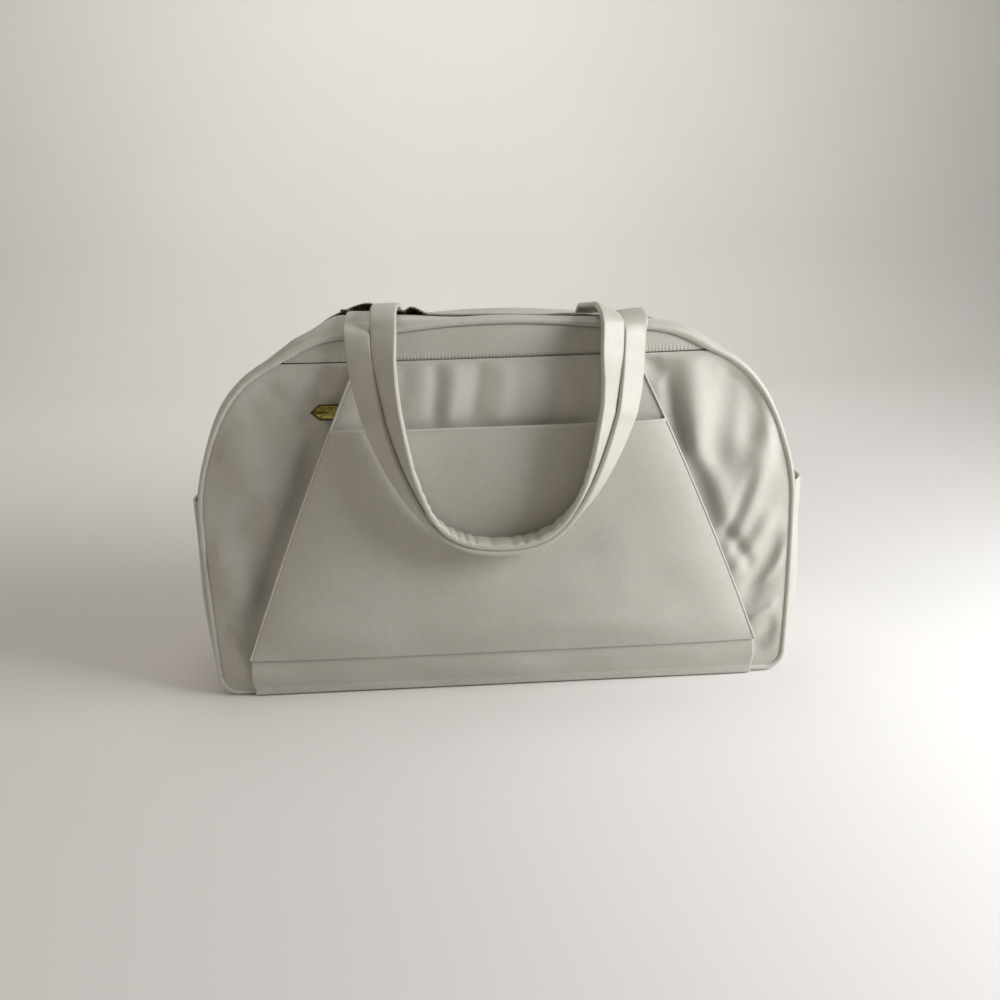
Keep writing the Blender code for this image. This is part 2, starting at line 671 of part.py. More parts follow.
def make_main_slider(dark):
    along = unit(np.array([1, 0, ZIP_SLOPE]))
    across = np.array([0, 1, 0])
    up = np.cross(along, across)
    height = ZIP_MID_HEIGHT - ZIP_SLOPE * SLIDER_REST
    origin = np.array([-SLIDER_REST, 0, height - GUSSET_WALL / 2])
    add_slider("main_zip_slider", origin, along, across, up, dark)
    add_pull("main_zip_pull", MAIN_PULL_LENGTH, origin, along, across, up, dark)


# Front pocket behind the sleeve

def pocket_zip_frame():
    """Middle of the pocket zip's chain and its along, across and up directions."""
    slope = float(panel_y(0, POCKET_ZIP_HEIGHT + STRIP_EDGE, -1) - panel_y(0, POCKET_ZIP_HEIGHT - STRIP_EDGE, -1))
    across = unit(np.array([0, slope, 2 * STRIP_EDGE]))
    along = np.array([1, 0, 0])
    up = np.cross(along, across)
    origin = np.array([0, float(panel_y(0, POCKET_ZIP_HEIGHT, -1)) + PANEL_WALL / 2, POCKET_ZIP_HEIGHT])
    return origin, along, across, up


def make_front_pocket(tape, teeth, lining, brass):
    origin, along, across, up = pocket_zip_frame()
    for half_name, side in (("upper", 1), ("lower", -1)):
        near, far = CHAIN_HALF + GAP, CHAIN_HALF + GAP + TAPE_WIDTH - GAP
        outline = [(near, -TAPE_THICK / 2), (far, -TAPE_THICK / 2), (far, TAPE_THICK / 2), (near, TAPE_THICK / 2)]
        points, faces = extrude_data(outline, origin, side * across, up, along, -POCKET_ZIP_HALF, POCKET_ZIP_HALF)
        add_object("pocket_zip_tape_" + half_name, points.tolist(), faces, tape)
        phase = PHASES["front"] if side > 0 else PHASES["rear"]
        stations, reach = comb_stations(-POCKET_ZIP_HALF, POCKET_ZIP_HALF, phase, CHAIN_SLIT, SPINE_INNER)
        sheets = []
        for offset in (TOOTH_THICK / 2, -TOOTH_THICK / 2):
            line = origin + up * offset + along * stations[:, None]
            edges = [line + across * side * reach[:, None], line + across * side * CHAIN_HALF]
            sheets.append(np.stack(edges, axis=1))
        add_shell("pocket_zip_teeth_" + half_name, sheets[0], sheets[1], teeth)

    start = origin - along * POCKET_SLIDER_REST
    add_slider("pocket_zip_slider", start, along, across, up, brass)
    add_pull("pocket_zip_pull", POCKET_PULL_LENGTH, start, along, across, up, brass)

    share = np.linspace(-1, 1, 9)
    rise = np.linspace(0, 1, 9)
    x = np.repeat(share[None, :] * POCKET_BAG_HALF, 9, axis=0)
    z = np.repeat((POCKET_BAG_BOTTOM + rise * (POCKET_BAG_TOP - POCKET_BAG_BOTTOM))[:, None], 9, axis=1)
    hollow = (1 - np.abs(share[None, :]) ** 8) * (1 - np.abs(2 * rise[:, None] - 1) ** 8)
    depth_in = PANEL_WALL + GAP + LINING_WALL + GAP
    y = panel_y(x, z, -1) + depth_in + POCKET_BAG_DEPTH * hollow
    outer = np.stack([x, y, z], axis=-1)
    inner = np.stack([x, y + LINING_WALL, z], axis=-1)
    add_shell("front_pocket_bag", outer, inner, lining)


# Mat sleeve across the front

def sleeve_half(z):
    share = (BAND_HEIGHT - z) / (BAND_HEIGHT - FOLD_HEIGHT)
    return SLEEVE_TOP_HALF + (SLEEVE_FOLD_HALF - SLEEVE_TOP_HALF) * share


def sleeve_gap(z):
    """Space between the body and the sleeve at a height."""
    upper = np.sin(pi / 2 * np.clip((BAND_HEIGHT - z) / SLEEVE_RISE, 0, 1))
    lower = smooth((z - FOLD_HEIGHT) / (HEM_HEIGHT / 2 - FOLD_HEIGHT))
    return (FOLD_GAP + (SLEEVE_GAP - FOLD_GAP) * lower) * upper


def sleeve_y(x, z):
    """Inner face of the sleeve."""
    return panel_y(x, z, -1) - GAP - sleeve_gap(z)


def pocket_y(share, x, z):
    """Inner face of the slip pocket; share runs from -1 to 1 across the sleeve."""
    side = 1 - np.abs(share) ** 8
    foot = np.sin(pi / 2 * np.clip((z - FOLD_HEIGHT) / POCKET_RISE, 0, 1))
    return sleeve_y(x, z) - SLEEVE_WALL - GAP - POCKET_GAP * side * foot


def make_sleeve(cloth, trim):
    share = np.linspace(-1, 1, 11)
    heights = np.concatenate([np.linspace(FOLD_HEIGHT + GAP / 2, HEM_HEIGHT - SLEEVE_RISE, 7)[:-1],
                              np.linspace(HEM_HEIGHT - SLEEVE_RISE, BAND_HEIGHT, 9)])
    inside = sleeve_half(heights) - 2 * BINDING_RADIUS
    x = share[None, :] * inside[:, None]
    z = np.repeat(heights[:, None], len(share), axis=1)
    y = sleeve_y(x, z)
    add_shell("mat_sleeve", np.stack([x, y - SLEEVE_WALL, z], axis=-1), np.stack([x, y, z], axis=-1), cloth)

    low = heights[heights < HEM_HEIGHT - GAP]
    low = np.append(low, HEM_HEIGHT)
    inside = sleeve_half(low) - 2 * BINDING_RADIUS
    x = share[None, :] * inside[:, None]
    z = np.repeat(low[:, None], len(share), axis=1)
    y = pocket_y(np.repeat(share[None, :], len(low), axis=0), x, z)
    add_shell("slip_pocket", np.stack([x, y - POCKET_WALL, z], axis=-1), np.stack([x, y, z], axis=-1), cloth)

    rise = np.linspace(0, 1, 5)
    heights = WRAP_FOOT + (FOLD_HEIGHT - GAP / 2 - WRAP_FOOT) * rise
    inside = sleeve_half(np.full_like(heights, FOLD_HEIGHT)) - 2 * BINDING_RADIUS
    x = share[None, :] * inside[:, None]
    z = np.repeat(heights[:, None], len(share), axis=1)
    y = panel_y(x, z, -1) - GAP - FOLD_GAP * np.sin(pi / 2 * rise)[:, None]
    add_shell("sleeve_wrap", np.stack([x, y - SLEEVE_WALL, z], axis=-1), np.stack([x, y, z], axis=-1), cloth)

    angles = np.linspace(0, 2 * pi, 6, endpoint=False)
    section = np.stack([np.cos(angles), np.sin(angles)], axis=1)
    heights = np.linspace(FOLD_HEIGHT + GAP, BAND_HEIGHT - BINDING_RADIUS, 12)
    for side_name in ("left", "right"):
        side = SIDE_FACTOR[side_name]
        x = side * (sleeve_half(heights) - BINDING_RADIUS + GAP)
        y = sleeve_y(x, heights) - BINDING_DEPTH / 2
        centres = np.stack([x, y, heights], axis=1)
        widths = np.zeros_like(centres)
        widths[:, 0] = BINDING_RADIUS
        depths = np.zeros_like(centres)
        depths[:, 1] = BINDING_DEPTH / 2
        points, faces = sweep_data(centres, widths, depths, section)
        add_object("sleeve_binding_" + side_name, points, faces, trim)


# Slip pockets on the two ends

def make_side_pockets(cloth):
    for side_name in ("left", "right"):
        lengths = []
        for height in np.linspace(SIDE_POCKET_FOOT, SIDE_POCKET_HEIGHT, 9):
            lengths.append(float(np.interp(height, HALF_PLACES[:, 1], LENGTHS[:LAST // 2 + 1])))
        lengths = np.array(lengths)
        if side_name == "right":
            lengths = LENGTHS[-1] - lengths
        z = outline_at(lengths)[0][:, 1]
        reach = half_depth(z) - NOTCH - SIDE_POCKET_EDGE
        share = np.linspace(-1, 1, 9)
        y = reach[:, None] * share[None, :]
        edge = reach[:, None] * (1 - np.abs(share[None, :]))
        foot = np.sin(pi / 2 * np.clip((z - SIDE_POCKET_FOOT) / POCKET_RISE, 0, 1))[:, None]
        stand = GAP + SIDE_POCKET_GAP * np.sin(pi / 2 * np.clip(edge / SIDE_POCKET_RISE, 0, 1)) * foot
        inner = gusset_point(lengths[:, None], y, stand)
        outer = gusset_point(lengths[:, None], y, stand + SIDE_POCKET_WALL)
        add_shell("side_pocket_" + side_name, outer, inner, cloth)


# Handles

def twist(share):
    """Turn of the strap about its own line: flat at its ends, on edge at the bottom."""
    return TWIST_MOST * smooth((share - TWIST_START_SHARE) / (TWIST_END_SHARE - TWIST_START_SHARE))


def strap_halves(angle):
    """Half extents of a turned strap, across its loop and in depth."""
    radial = (np.abs(np.cos(angle)) * STRAP_WIDTH + np.abs(np.sin(angle)) * STRAP_THICK) / 2
    depth = (np.abs(np.sin(angle)) * STRAP_WIDTH + np.abs(np.cos(angle)) * STRAP_THICK) / 2
    return radial, depth


def front_hinge_y():
    height = top_z(LOOP_HALF)
    return -(float(half_depth(height)) - PIPING_INSET + PIPING_RADIUS + GAP + STRAP_THICK / 2)


def loop_depth(z, depth_half):
    """Depth of a loop's middle line where it lies against the front of the bag."""
    pocket = pocket_y(0, 0, np.minimum(z, HEM_HEIGHT)) - POCKET_WALL
    hem = float(pocket_y(0, 0, HEM_HEIGHT)) - POCKET_WALL
    band = float(panel_y(0, BAND_HEIGHT, -1)) - BINDING_DEPTH - GAP
    hinge = front_hinge_y() + STRAP_CLEARANCE + STRAP_THICK / 2
    above = np.interp(z, [HEM_HEIGHT + HEM_LEAD, BAND_HEIGHT, FRONT_HINGE_HEIGHT], [hem, band, hinge])
    return np.where(z > HEM_HEIGHT, above, pocket) - STRAP_CLEARANCE - depth_half


def hanging_loop(step_in, steps):
    """Middle line, outward normals and turns of a loop; step_in counts straps inwards."""
    around = np.linspace(0, pi, steps + 1)
    turn = twist(np.sin(around))
    radial, depth = strap_halves(turn)
    x = -LOOP_HALF * np.cos(around)
    z = FRONT_HINGE_HEIGHT - LOOP_DROP * np.sin(around)
    normal = unit(np.stack([-np.cos(around) * LOOP_DROP, -np.sin(around) * LOOP_HALF], axis=1))
    shift = step_in * (2 * radial + STRAP_GAP)
    x = x - normal[:, 0] * shift
    z = z - normal[:, 1] * shift
    y = loop_depth(z, depth)
    outward = np.stack([normal[:, 0], 0 * x, normal[:, 1]], axis=1)
    return np.stack([x, y, z], axis=1), outward, turn


def strap_mesh(centres, outward, turn):
    """Points and faces of a strap whose two ends are half round."""
    tangent = unit(np.gradient(centres, axis=0))
    side = unit(outward - tangent * np.sum(outward * tangent, axis=1, keepdims=True))
    depth = np.cross(tangent, side)
    width = side * np.cos(turn)[:, None] + depth * np.sin(turn)[:, None]
    thick = np.cross(tangent, width)
    angles = (radians(80), radians(50))
    heads = [centres[0] - tangent[0] * STRAP_THICK / 2 * sin(a) for a in angles]
    tails = [centres[-1] + tangent[-1] * STRAP_THICK / 2 * sin(a) for a in angles[::-1]]
    shrink = [cos(a) for a in angles] + [1] * len(centres) + [cos(a) for a in angles[::-1]]
    line = np.concatenate([heads, centres, tails])
    width = np.concatenate([[width[0]] * 2, width, [width[-1]] * 2]) * STRAP_WIDTH / 2
    thick = np.concatenate([[thick[0]] * 2, thick, [thick[-1]] * 2]) * STRAP_THICK / 2
    thick = thick * np.array(shrink)[:, None]
    section_shares = [(1, 0.4), (0.93, 1), (-0.93, 1), (-1, 0.4), (-1, -0.4), (-0.93, -1), (0.93, -1), (1, -0.4)]
    return sweep_data(line, width, thick, section_shares)


def make_front_handle(leather):
    centres, outward, turn = hanging_loop(0, 30)
    points, faces = strap_mesh(centres, outward, turn)
    add_object("front_handle", points, faces, leather, (0, front_hinge_y(), FRONT_HINGE_HEIGHT))


def over_top(x, start, crest, steps):
    """The strap's line from the rear hinge over the zip to the top of a hanging leg."""
    crest_y = start[1] + CREST_BACK
    share = np.linspace(0, 1, steps + 1)[:-1]
    run_y = REAR_HINGE_BACK + (crest_y - REAR_HINGE_BACK) * share
    run_z = REAR_HINGE_HEIGHT + (crest - REAR_HINGE_HEIGHT) * np.sin(pi / 2 * share)
    bend = np.linspace(pi / 2, 0, 6)[:-1]
    bend_y = start[1] + CREST_BACK * (1 - np.cos(bend))
    bend_z = start[2] + (crest - start[2]) * np.sin(bend)
    y = np.concatenate([run_y, bend_y])
    z = np.concatenate([run_z, bend_z])
    return np.stack([np.full_like(y, x), y, z], axis=1)


def make_rear_handle(leather):
    centres, outward, turn = hanging_loop(1, 30)
    left = over_top(centres[0, 0], centres[0], LEFT_CREST_HEIGHT, 6)
    right = over_top(centres[-1, 0], centres[-1], RIGHT_CREST_HEIGHT, 6)[::-1]
    line = np.concatenate([left, centres, right])
    outward = np.concatenate([[outward[0]] * len(left), outward, [outward[-1]] * len(right)])
    turn = np.concatenate([np.zeros(len(left)), turn, np.zeros(len(right))])
    points, faces = strap_mesh(line, outward, turn)
    add_object("rear_handle", points, faces, leather, (0, REAR_HINGE_BACK, REAR_HINGE_HEIGHT))


def gusset_top(x, y):
    """Height of the gusset's outer face at x and y on the top."""
    lengths = np.vectorize(length_at_x)(x)
    for _ in range(3):
        found = gusset_point(lengths, y, 0)
        lengths = lengths + (x - found[..., 0])
    return gusset_point(lengths, y, 0)[..., 2]


def make_handle_tabs(leather):
    inner_x = LOOP_HALF - STRAP_WIDTH - STRAP_GAP
    share = np.linspace(-1, 1, 5)
    for side_name in ("left", "right"):
        side = SIDE_FACTOR[side_name]
        start = front_hinge_y() + STRAP_THICK / 2 + HINGE_CLEARANCE
        y = start + FRONT_TAB_LENGTH * np.linspace(0, 1, 9)
        x, yy = np.meshgrid(side * LOOP_HALF + share * STRAP_WIDTH / 2, y)
        edge = -float(half_depth(SEAM_HEIGHT)) + NOTCH
        level = FRONT_HINGE_HEIGHT - STRAP_THICK / 2
        low = gusset_top(x, np.maximum(yy, edge)) + TAB_CLEARANCE
        low = np.where(yy < edge + PIPING_RADIUS, np.maximum(level, low), low)
        add_shell("front_handle_tab_" + side_name, np.stack([x, yy, low + STRAP_THICK], axis=-1),
                  np.stack([x, yy, low], axis=-1), leather)

        start = REAR_HINGE_BACK - REAR_TAB_LEAD
        y = start + REAR_TAB_LENGTH * np.linspace(0, 1, 6)
        x, yy = np.meshgrid(side * inner_x + share * STRAP_WIDTH / 2, y)
        low = gusset_top(x, yy) + TAB_CLEARANCE
        top = np.full_like(low, REAR_HINGE_HEIGHT - STRAP_THICK / 2 - HINGE_CLEARANCE)
        top = np.where(yy > REAR_HINGE_BACK + REAR_TAB_LEAD, low + STRAP_THICK, top)
        add_shell("rear_handle_tab_" + side_name, np.stack([x, yy, top], axis=-1),
                  np.stack([x, yy, low], axis=-1), leather)


def main():
    for obj in list(bpy.data.objects):
        bpy.data.objects.remove(obj, do_unlink=True)
    cloth = material("bag cloth", (0.60, 0.57, 0.50), 0.62)
    trim = material("piping cloth", (0.66, 0.62, 0.54), 0.55)
    lining = material("lining cloth", (0.27, 0.26, 0.26), 0.75)
    board = material("base board", (0.20, 0.20, 0.20), 0.80)
    leather = material("handle leather", (0.55, 0.54, 0.44), 0.48)
    tape = material("zip tape", (0.06, 0.05, 0.045), 0.80)
    teeth = material("zip teeth", (0.12, 0.09, 0.06), 0.40, 0.8)
    dark = material("dark metal", (0.10, 0.08, 0.06), 0.35, 1.0)
    brass = material("antique brass", (0.42, 0.34, 0.10), 0.35, 1.0)
    make_body(cloth)
    make_base(cloth, board)
    make_piping(trim)
    make_lining(lining)
    make_main_zip(tape, teeth, cloth)
    make_main_slider(dark)
    make_front_pocket(tape, teeth, lining, brass)
    make_sleeve(cloth, trim)
    make_side_pockets(cloth)
    make_front_handle(leather)
    make_rear_handle(leather)
    make_handle_tabs(leather)


main()
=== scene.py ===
import bpy
import numpy as np
from math import acos, asin, cos, pi, radians, sin
from mathutils import Matrix


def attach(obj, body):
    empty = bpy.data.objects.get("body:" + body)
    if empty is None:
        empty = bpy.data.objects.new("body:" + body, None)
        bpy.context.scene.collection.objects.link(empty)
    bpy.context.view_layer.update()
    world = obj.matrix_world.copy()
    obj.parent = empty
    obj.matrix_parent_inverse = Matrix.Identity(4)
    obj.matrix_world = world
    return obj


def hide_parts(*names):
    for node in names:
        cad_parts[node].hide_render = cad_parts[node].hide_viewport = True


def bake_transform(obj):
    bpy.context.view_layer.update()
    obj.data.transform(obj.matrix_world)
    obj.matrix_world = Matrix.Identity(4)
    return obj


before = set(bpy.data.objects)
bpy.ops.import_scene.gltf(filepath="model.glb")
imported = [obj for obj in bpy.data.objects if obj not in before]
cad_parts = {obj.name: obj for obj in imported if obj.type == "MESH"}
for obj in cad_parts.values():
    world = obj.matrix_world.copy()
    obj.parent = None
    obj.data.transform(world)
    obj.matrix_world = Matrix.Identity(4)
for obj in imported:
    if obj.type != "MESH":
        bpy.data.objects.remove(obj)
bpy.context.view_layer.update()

# Small tools; every size in this script is in metres


def smooth(t):
    # an eased step: three t squared less two t cubed, held between 0 and 1
    t = np.clip(t, 0, 1)
    return t * t * (3 - 2 * t)


def grow(value, span):
    # an eased step over a span, given as its start and its length
    return smooth((value - span[0]) / span[1])


def quarterSine(t):
    # rises steeply from 0 and levels out at 1
    return np.sin(pi / 2 * np.clip(t, 0, 1))


def bell(value, middle, width):
    # a bell curve: e to minus the squared distance from the middle, counted in widths
    return np.exp(-((value - middle) / width) ** 2)


def unit(v):
    return v / np.maximum(np.linalg.norm(v, axis=-1, keepdims=True), 1e-12)


def walked(line):
    # the length walked at each point of a line
    return np.concatenate([[0], np.cumsum(np.linalg.norm(np.diff(line, axis=0), axis=1))])


def along(at, walk, line):
    # places on a line at the lengths in at
    return np.stack([np.interp(at, walk, line[:, k]) for k in range(line.shape[1])], axis=-1)


def meshObject(name, points, faces, mat, uv=None):
    mesh = bpy.data.meshes.new(name)
    mesh.from_pydata(np.asarray(points).reshape(-1, 3).tolist(), [], faces)
    if uv is not None:
        layer = mesh.uv_layers.new(name="cut")  # flat place on the cloth
        loops = np.zeros(len(mesh.loops), int)
        mesh.loops.foreach_get("vertex_index", loops)
        layer.data.foreach_set("uv", np.asarray(uv).reshape(-1, 2)[loops].ravel())
    mesh.materials.append(mat)
    mesh.shade_smooth()
    obj = bpy.data.objects.new(name, mesh)
    bpy.context.scene.collection.objects.link(obj)
    return obj


def gridQuads(rows, cols, wrap=False):
    # quads of a rows by cols grid, whose columns may run round and meet
    i, j = np.meshgrid(np.arange(rows - 1), np.arange(cols if wrap else cols - 1), indexing="ij")
    k = (j + 1) % cols
    quads = np.stack([i * cols + j, i * cols + k, (i + 1) * cols + k, (i + 1) * cols + j], axis=-1)
    return quads.reshape(-1, 4)


def sheetObject(name, grid, wall, mat, facing, skip=None):
    # a sheet with a wall behind its face: two grids joined round the rim; facing points out of the face,
    # and skip tells which quads are left out as a window
    rows, cols = grid.shape[:2]
    normal = unit(np.cross(np.gradient(grid, axis=1), np.gradient(grid, axis=0)))
    if np.sum(normal * np.asarray(facing)) < 0:
        normal = -normal
    across = np.cumsum(np.linalg.norm(np.diff(grid, axis=1), axis=2), axis=1)
    across = np.concatenate([np.zeros((rows, 1)), across], axis=1)
    upward = np.cumsum(np.linalg.norm(np.diff(grid, axis=0), axis=2), axis=0)
    upward = np.concatenate([np.zeros((1, cols)), upward], axis=0)
    across -= across[:, cols // 2: cols // 2 + 1]
    flat = np.stack([across, upward], axis=-1)
    quads = gridQuads(rows, cols)
    if skip is not None:
        quads = quads[~skip(grid[:-1, :-1].reshape(-1, 3))]
    count = rows * cols
    # an edge that only one quad has is on the rim
    edges = np.concatenate([quads[:, [0, 1]], quads[:, [1, 2]], quads[:, [2, 3]], quads[:, [3, 0]]])
    key = np.sort(edges, axis=1) @ np.array([count, 1])
    _, first, seen = np.unique(key, return_index=True, return_counts=True)
    rim = edges[first[seen == 1]]
    wallQuads = np.stack([rim[:, 1], rim[:, 0], rim[:, 0] + count, rim[:, 1] + count], axis=1)
    faces = np.concatenate([quads, quads[:, ::-1] + count, wallQuads])
    points = np.concatenate([grid.reshape(-1, 3), (grid - normal * wall).reshape(-1, 3)])
    a, b, c = points[quads[:, 0]], points[quads[:, 1]], points[quads[:, 3]]
    if np.sum(np.cross(b - a, c - a) * normal.reshape(-1, 3)[quads[:, 0]]) < 0:
        faces = faces[:, ::-1]
    used = np.unique(faces)
    renumber = np.zeros(2 * count, int)
    renumber[used] = np.arange(len(used))
    uv = np.concatenate([flat.reshape(-1, 2)] * 2)
    return meshObject(name, points[used], renumber[faces].tolist(), mat, uv[used])


def tubeObject(name, rings, mat, around=0.01):
    # a solid carried along a path: rings is stations by section points, closed by a fan at each end;
    # around is the section's length on the flat map
    rows, cols = rings.shape[:2]
    centre = rings.mean(axis=1)
    points = np.concatenate([rings.reshape(-1, 3), centre[:1], centre[-1:]])
    j = np.arange(cols)
    k = (j + 1) % cols
    last = (rows - 1) * cols
    head = np.stack([k, j, np.full(cols, rows * cols)], axis=1)
    tail = np.stack([j + last, k + last, np.full(cols, rows * cols + 1)], axis=1)
    faces = gridQuads(rows, cols, wrap=True).tolist() + head.tolist() + tail.tolist()
    outward = np.cross(rings[1, 0] - rings[0, 0], rings[0, 1] - rings[0, 0])
    if np.dot(outward, rings[0, 0] - centre[0]) > 0:
        faces = [face[::-1] for face in faces]
    length = walked(centre)
    turn = np.linspace(0, 1, cols, endpoint=False) * around
    uv = np.stack(np.broadcast_arrays(turn[None, :], length[:, None]), axis=-1).reshape(-1, 2)
    uv = np.concatenate([uv, [[0, 0], [0, length[-1]]]])
    return meshObject(name, points, faces, mat, uv)


def roundRings(line, sides, wide, high):
    # a ring at each station: the cosine of the angle times one half axis plus its sine times the other
    angle = np.linspace(0, 2 * pi, sides, endpoint=False)[None, :, None]
    return line[:, None] + np.cos(angle) * wide[:, None] + np.sin(angle) * high[:, None]


def edgeCord(name, line, radius, squash):
    # a round trim along a line; squash scales its two radii
    ahead = unit(np.gradient(line, axis=0))
    side = unit(np.cross(ahead, np.array([0, -1, 0.02])))
    rings = roundRings(line, 10, radius * squash[0] * side, radius * squash[1] * np.cross(ahead, side))
    return tubeObject(name, rings, trimCloth, 2 * pi * radius)


def copiesObject(name, template, faces, places, frames, mat):
    # the same small solid at many places: template points turned by each frame and moved to its place
    points = np.einsum("nij,pj->npi", frames, template) + places[:, None]
    shift = np.arange(len(places))[:, None] * len(template)
    allFaces = [copy for face in faces for copy in (np.asarray(face)[None, :] + shift).tolist()]
    obj = meshObject(name, points, allFaces, mat)
    obj.data.set_sharp_from_angle(angle=radians(40))
    return obj


# The empty bag leans back a little; each pair is where a change starts and over how much it grows

lean = {"sink": 0.0075, "sinkDepth": (0.006, 0.045), "sinkHeight": (0.205, 0.06),
        "endShare": 0.5, "endReach": (0.12, 0.06),
        "frontDepth": (0.004, 0.05), "widen": 0.011, "widenHeight": (0.185, 0.095),
        "widenReach": (0.125, 0.065), "lift": 0.0055, "liftHeight": (0.2635, 0.014),
        "liftStart": (0.060, 0.095), "liftStop": (0.165, 0.055)}


def settle(obj):
    # behind the zip the top sinks, and the front's shoulders stand higher and wider
    points = np.zeros(3 * len(obj.data.vertices))
    obj.data.vertices.foreach_get("co", points)
    points = points.reshape(-1, 3)
    x, y, z = np.abs(points[:, 0]), points[:, 1], points[:, 2]
    front, rear = grow(-y, lean["frontDepth"]), grow(y, lean["sinkDepth"])
    shoulder = grow(x, lean["liftStart"]) * (1 - grow(x, lean["liftStop"]))
    less = 1 - lean["endShare"] * grow(x, lean["endReach"])
    sink = lean["sink"] * rear * grow(z, lean["sinkHeight"]) * less
    wider = lean["widen"] * front * grow(z, lean["widenHeight"]) * grow(x, lean["widenReach"])
    points[:, 0] += np.sign(points[:, 0]) * wider
    points[:, 2] += lean["lift"] * front * shoulder * grow(z, lean["liftHeight"]) - sink
    obj.data.vertices.foreach_set("co", points.ravel())
    obj.data.update()


def finishPiece(obj, body, slotName, *nodes):
    if body == "bag":
        settle(obj)
    if nodes:
        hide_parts(*nodes)
    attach(obj, body)
    return obj


# Materials


def newMaterial(name):
    mat = bpy.data.materials.new(name)
    mat.use_nodes = True
    tree = mat.node_tree
    coords = tree.nodes.new("ShaderNodeTexCoord").outputs["Object"]
    return mat, tree, coords, tree.nodes["Principled BSDF"]


def feed(tree, socket, value):
    # a colour or number is set on the socket, and another socket is linked to it
    if isinstance(value, tuple):
        socket.default_value = (*value, 1)
    elif isinstance(value, (int, float)):
        socket.default_value = value
    else:
        tree.links.new(value, socket)


def mixColors(tree, factor, first, second):
    mix = tree.nodes.new("ShaderNodeMix")
    mix.data_type = "RGBA"
    feed(tree, mix.inputs["Factor"], factor)
    feed(tree, mix.inputs[6], first)
    feed(tree, mix.inputs[7], second)
    return mix.outputs[2]


def mapRange(tree, value, low, high, toLow, toHigh):
    node = tree.nodes.new("ShaderNodeMapRange")
    feed(tree, node.inputs["Value"], value)
    for key, number in (("From Min", low), ("From Max", high), ("To Min", toLow), ("To Max", toHigh)):
        node.inputs[key].default_value = number
    return node.outputs["Result"]


def noiseAt(tree, coords, scale, detail=3, rough=0.5):
    node = tree.nodes.new("ShaderNodeTexNoise")
    for key, value in (("Vector", coords), ("Scale", scale), ("Detail", detail), ("Roughness", rough)):
        feed(tree, node.inputs[key], value)
    return node.outputs["Fac"]


def mathNode(tree, kind, first, second=None):
    node = tree.nodes.new("ShaderNodeMath")
    node.operation = kind
    feed(tree, node.inputs[0], first)
    if second is not None:
        feed(tree, node.inputs[1], second)
    return node.outputs[0]


def addBump(tree, shader, height, distance, strength):
    bump = tree.nodes.new("ShaderNodeBump")
    for key, value in (("Distance", distance), ("Strength", strength), ("Height", height)):
        feed(tree, bump.inputs[key], value)
    feed(tree, shader.inputs["Normal"], bump.outputs["Normal"])


def darker(color, share):
    return tuple(share * part for part in color)


def clothMaterial(name, light, dark, rough, thread, weave=0.25, sheen=0.25):
    # plain weave on the cloth's own flat map: two crossed sets of threads, with slubs and faint shading
    mat, tree, coords, shader = newMaterial(name)
    cut = tree.nodes.new("ShaderNodeUVMap")
    cut.uv_map = "cut"
    broad = noiseAt(tree, coords, 9, 4)
    fine = noiseAt(tree, coords, 240, 3, 0.6)
    split = tree.nodes.new("ShaderNodeSeparateXYZ")
    feed(tree, split.inputs[0], cut.outputs["UV"])
    warp, weft = (mathNode(tree, "SINE", mathNode(tree, "MULTIPLY", split.outputs[axis], 2 * pi / thread))
                  for axis in (0, 1))
    threads = mapRange(tree, mathNode(tree, "MULTIPLY", warp, weft), -1, 1, 0, 1)
    color = mixColors(tree, mapRange(tree, broad, 0.3, 0.7, 0, 1), dark, light)
    color = mixColors(tree, mapRange(tree, fine, 0.35, 0.65, 0, 0.22), color, darker(dark, 0.8))
    color = mixColors(tree, mathNode(tree, "MULTIPLY", threads, 0.10), color, darker(dark, 0.7))
    feed(tree, shader.inputs["Base Color"], color)
    feed(tree, shader.inputs["Roughness"], mapRange(tree, fine, 0.3, 0.7, rough - 0.06, rough + 0.06))
    shader.inputs["Sheen Weight"].default_value = sheen
    shader.inputs["Sheen Roughness"].default_value = 0.45
    shader.inputs["Specular IOR Level"].default_value = 0.35
    slubs = mathNode(tree, "MULTIPLY", fine, 0.6)
    height = mathNode(tree, "ADD", mathNode(tree, "MULTIPLY", threads, weave), slubs)
    addBump(tree, shader, height, 0.00018, 0.5)
    return mat


def leatherMaterial(name, light, dark):
    # smooth leather: fine pebbles from cell edges, soft creases, paler worn high spots
    mat, tree, coords, shader = newMaterial(name)
    cells = tree.nodes.new("ShaderNodeTexVoronoi")
    cells.feature = "DISTANCE_TO_EDGE"
    cells.inputs["Scale"].default_value = 900
    feed(tree, cells.inputs["Vector"], coords)
    grain = mapRange(tree, cells.outputs["Distance"], 0, 0.12, 0, 1)
    broad = noiseAt(tree, coords, 22, 4)
    fine = noiseAt(tree, coords, 420, 4, 0.65)
    color = mixColors(tree, mapRange(tree, broad, 0.3, 0.7, 0, 1), dark, light)
    pores = mathNode(tree, "MULTIPLY", mathNode(tree, "SUBTRACT", 1.0, grain), 0.25)
    feed(tree, shader.inputs["Base Color"], mixColors(tree, pores, color, darker(dark, 0.6)))
    feed(tree, shader.inputs["Roughness"], mapRange(tree, fine, 0.3, 0.7, 0.36, 0.50))
    shader.inputs["Specular IOR Level"].default_value = 0.45
    halves = (mathNode(tree, "MULTIPLY", part, 0.5) for part in (grain, fine))
    addBump(tree, shader, mathNode(tree, "ADD", *halves), 0.00012, 0.45)
    return mat


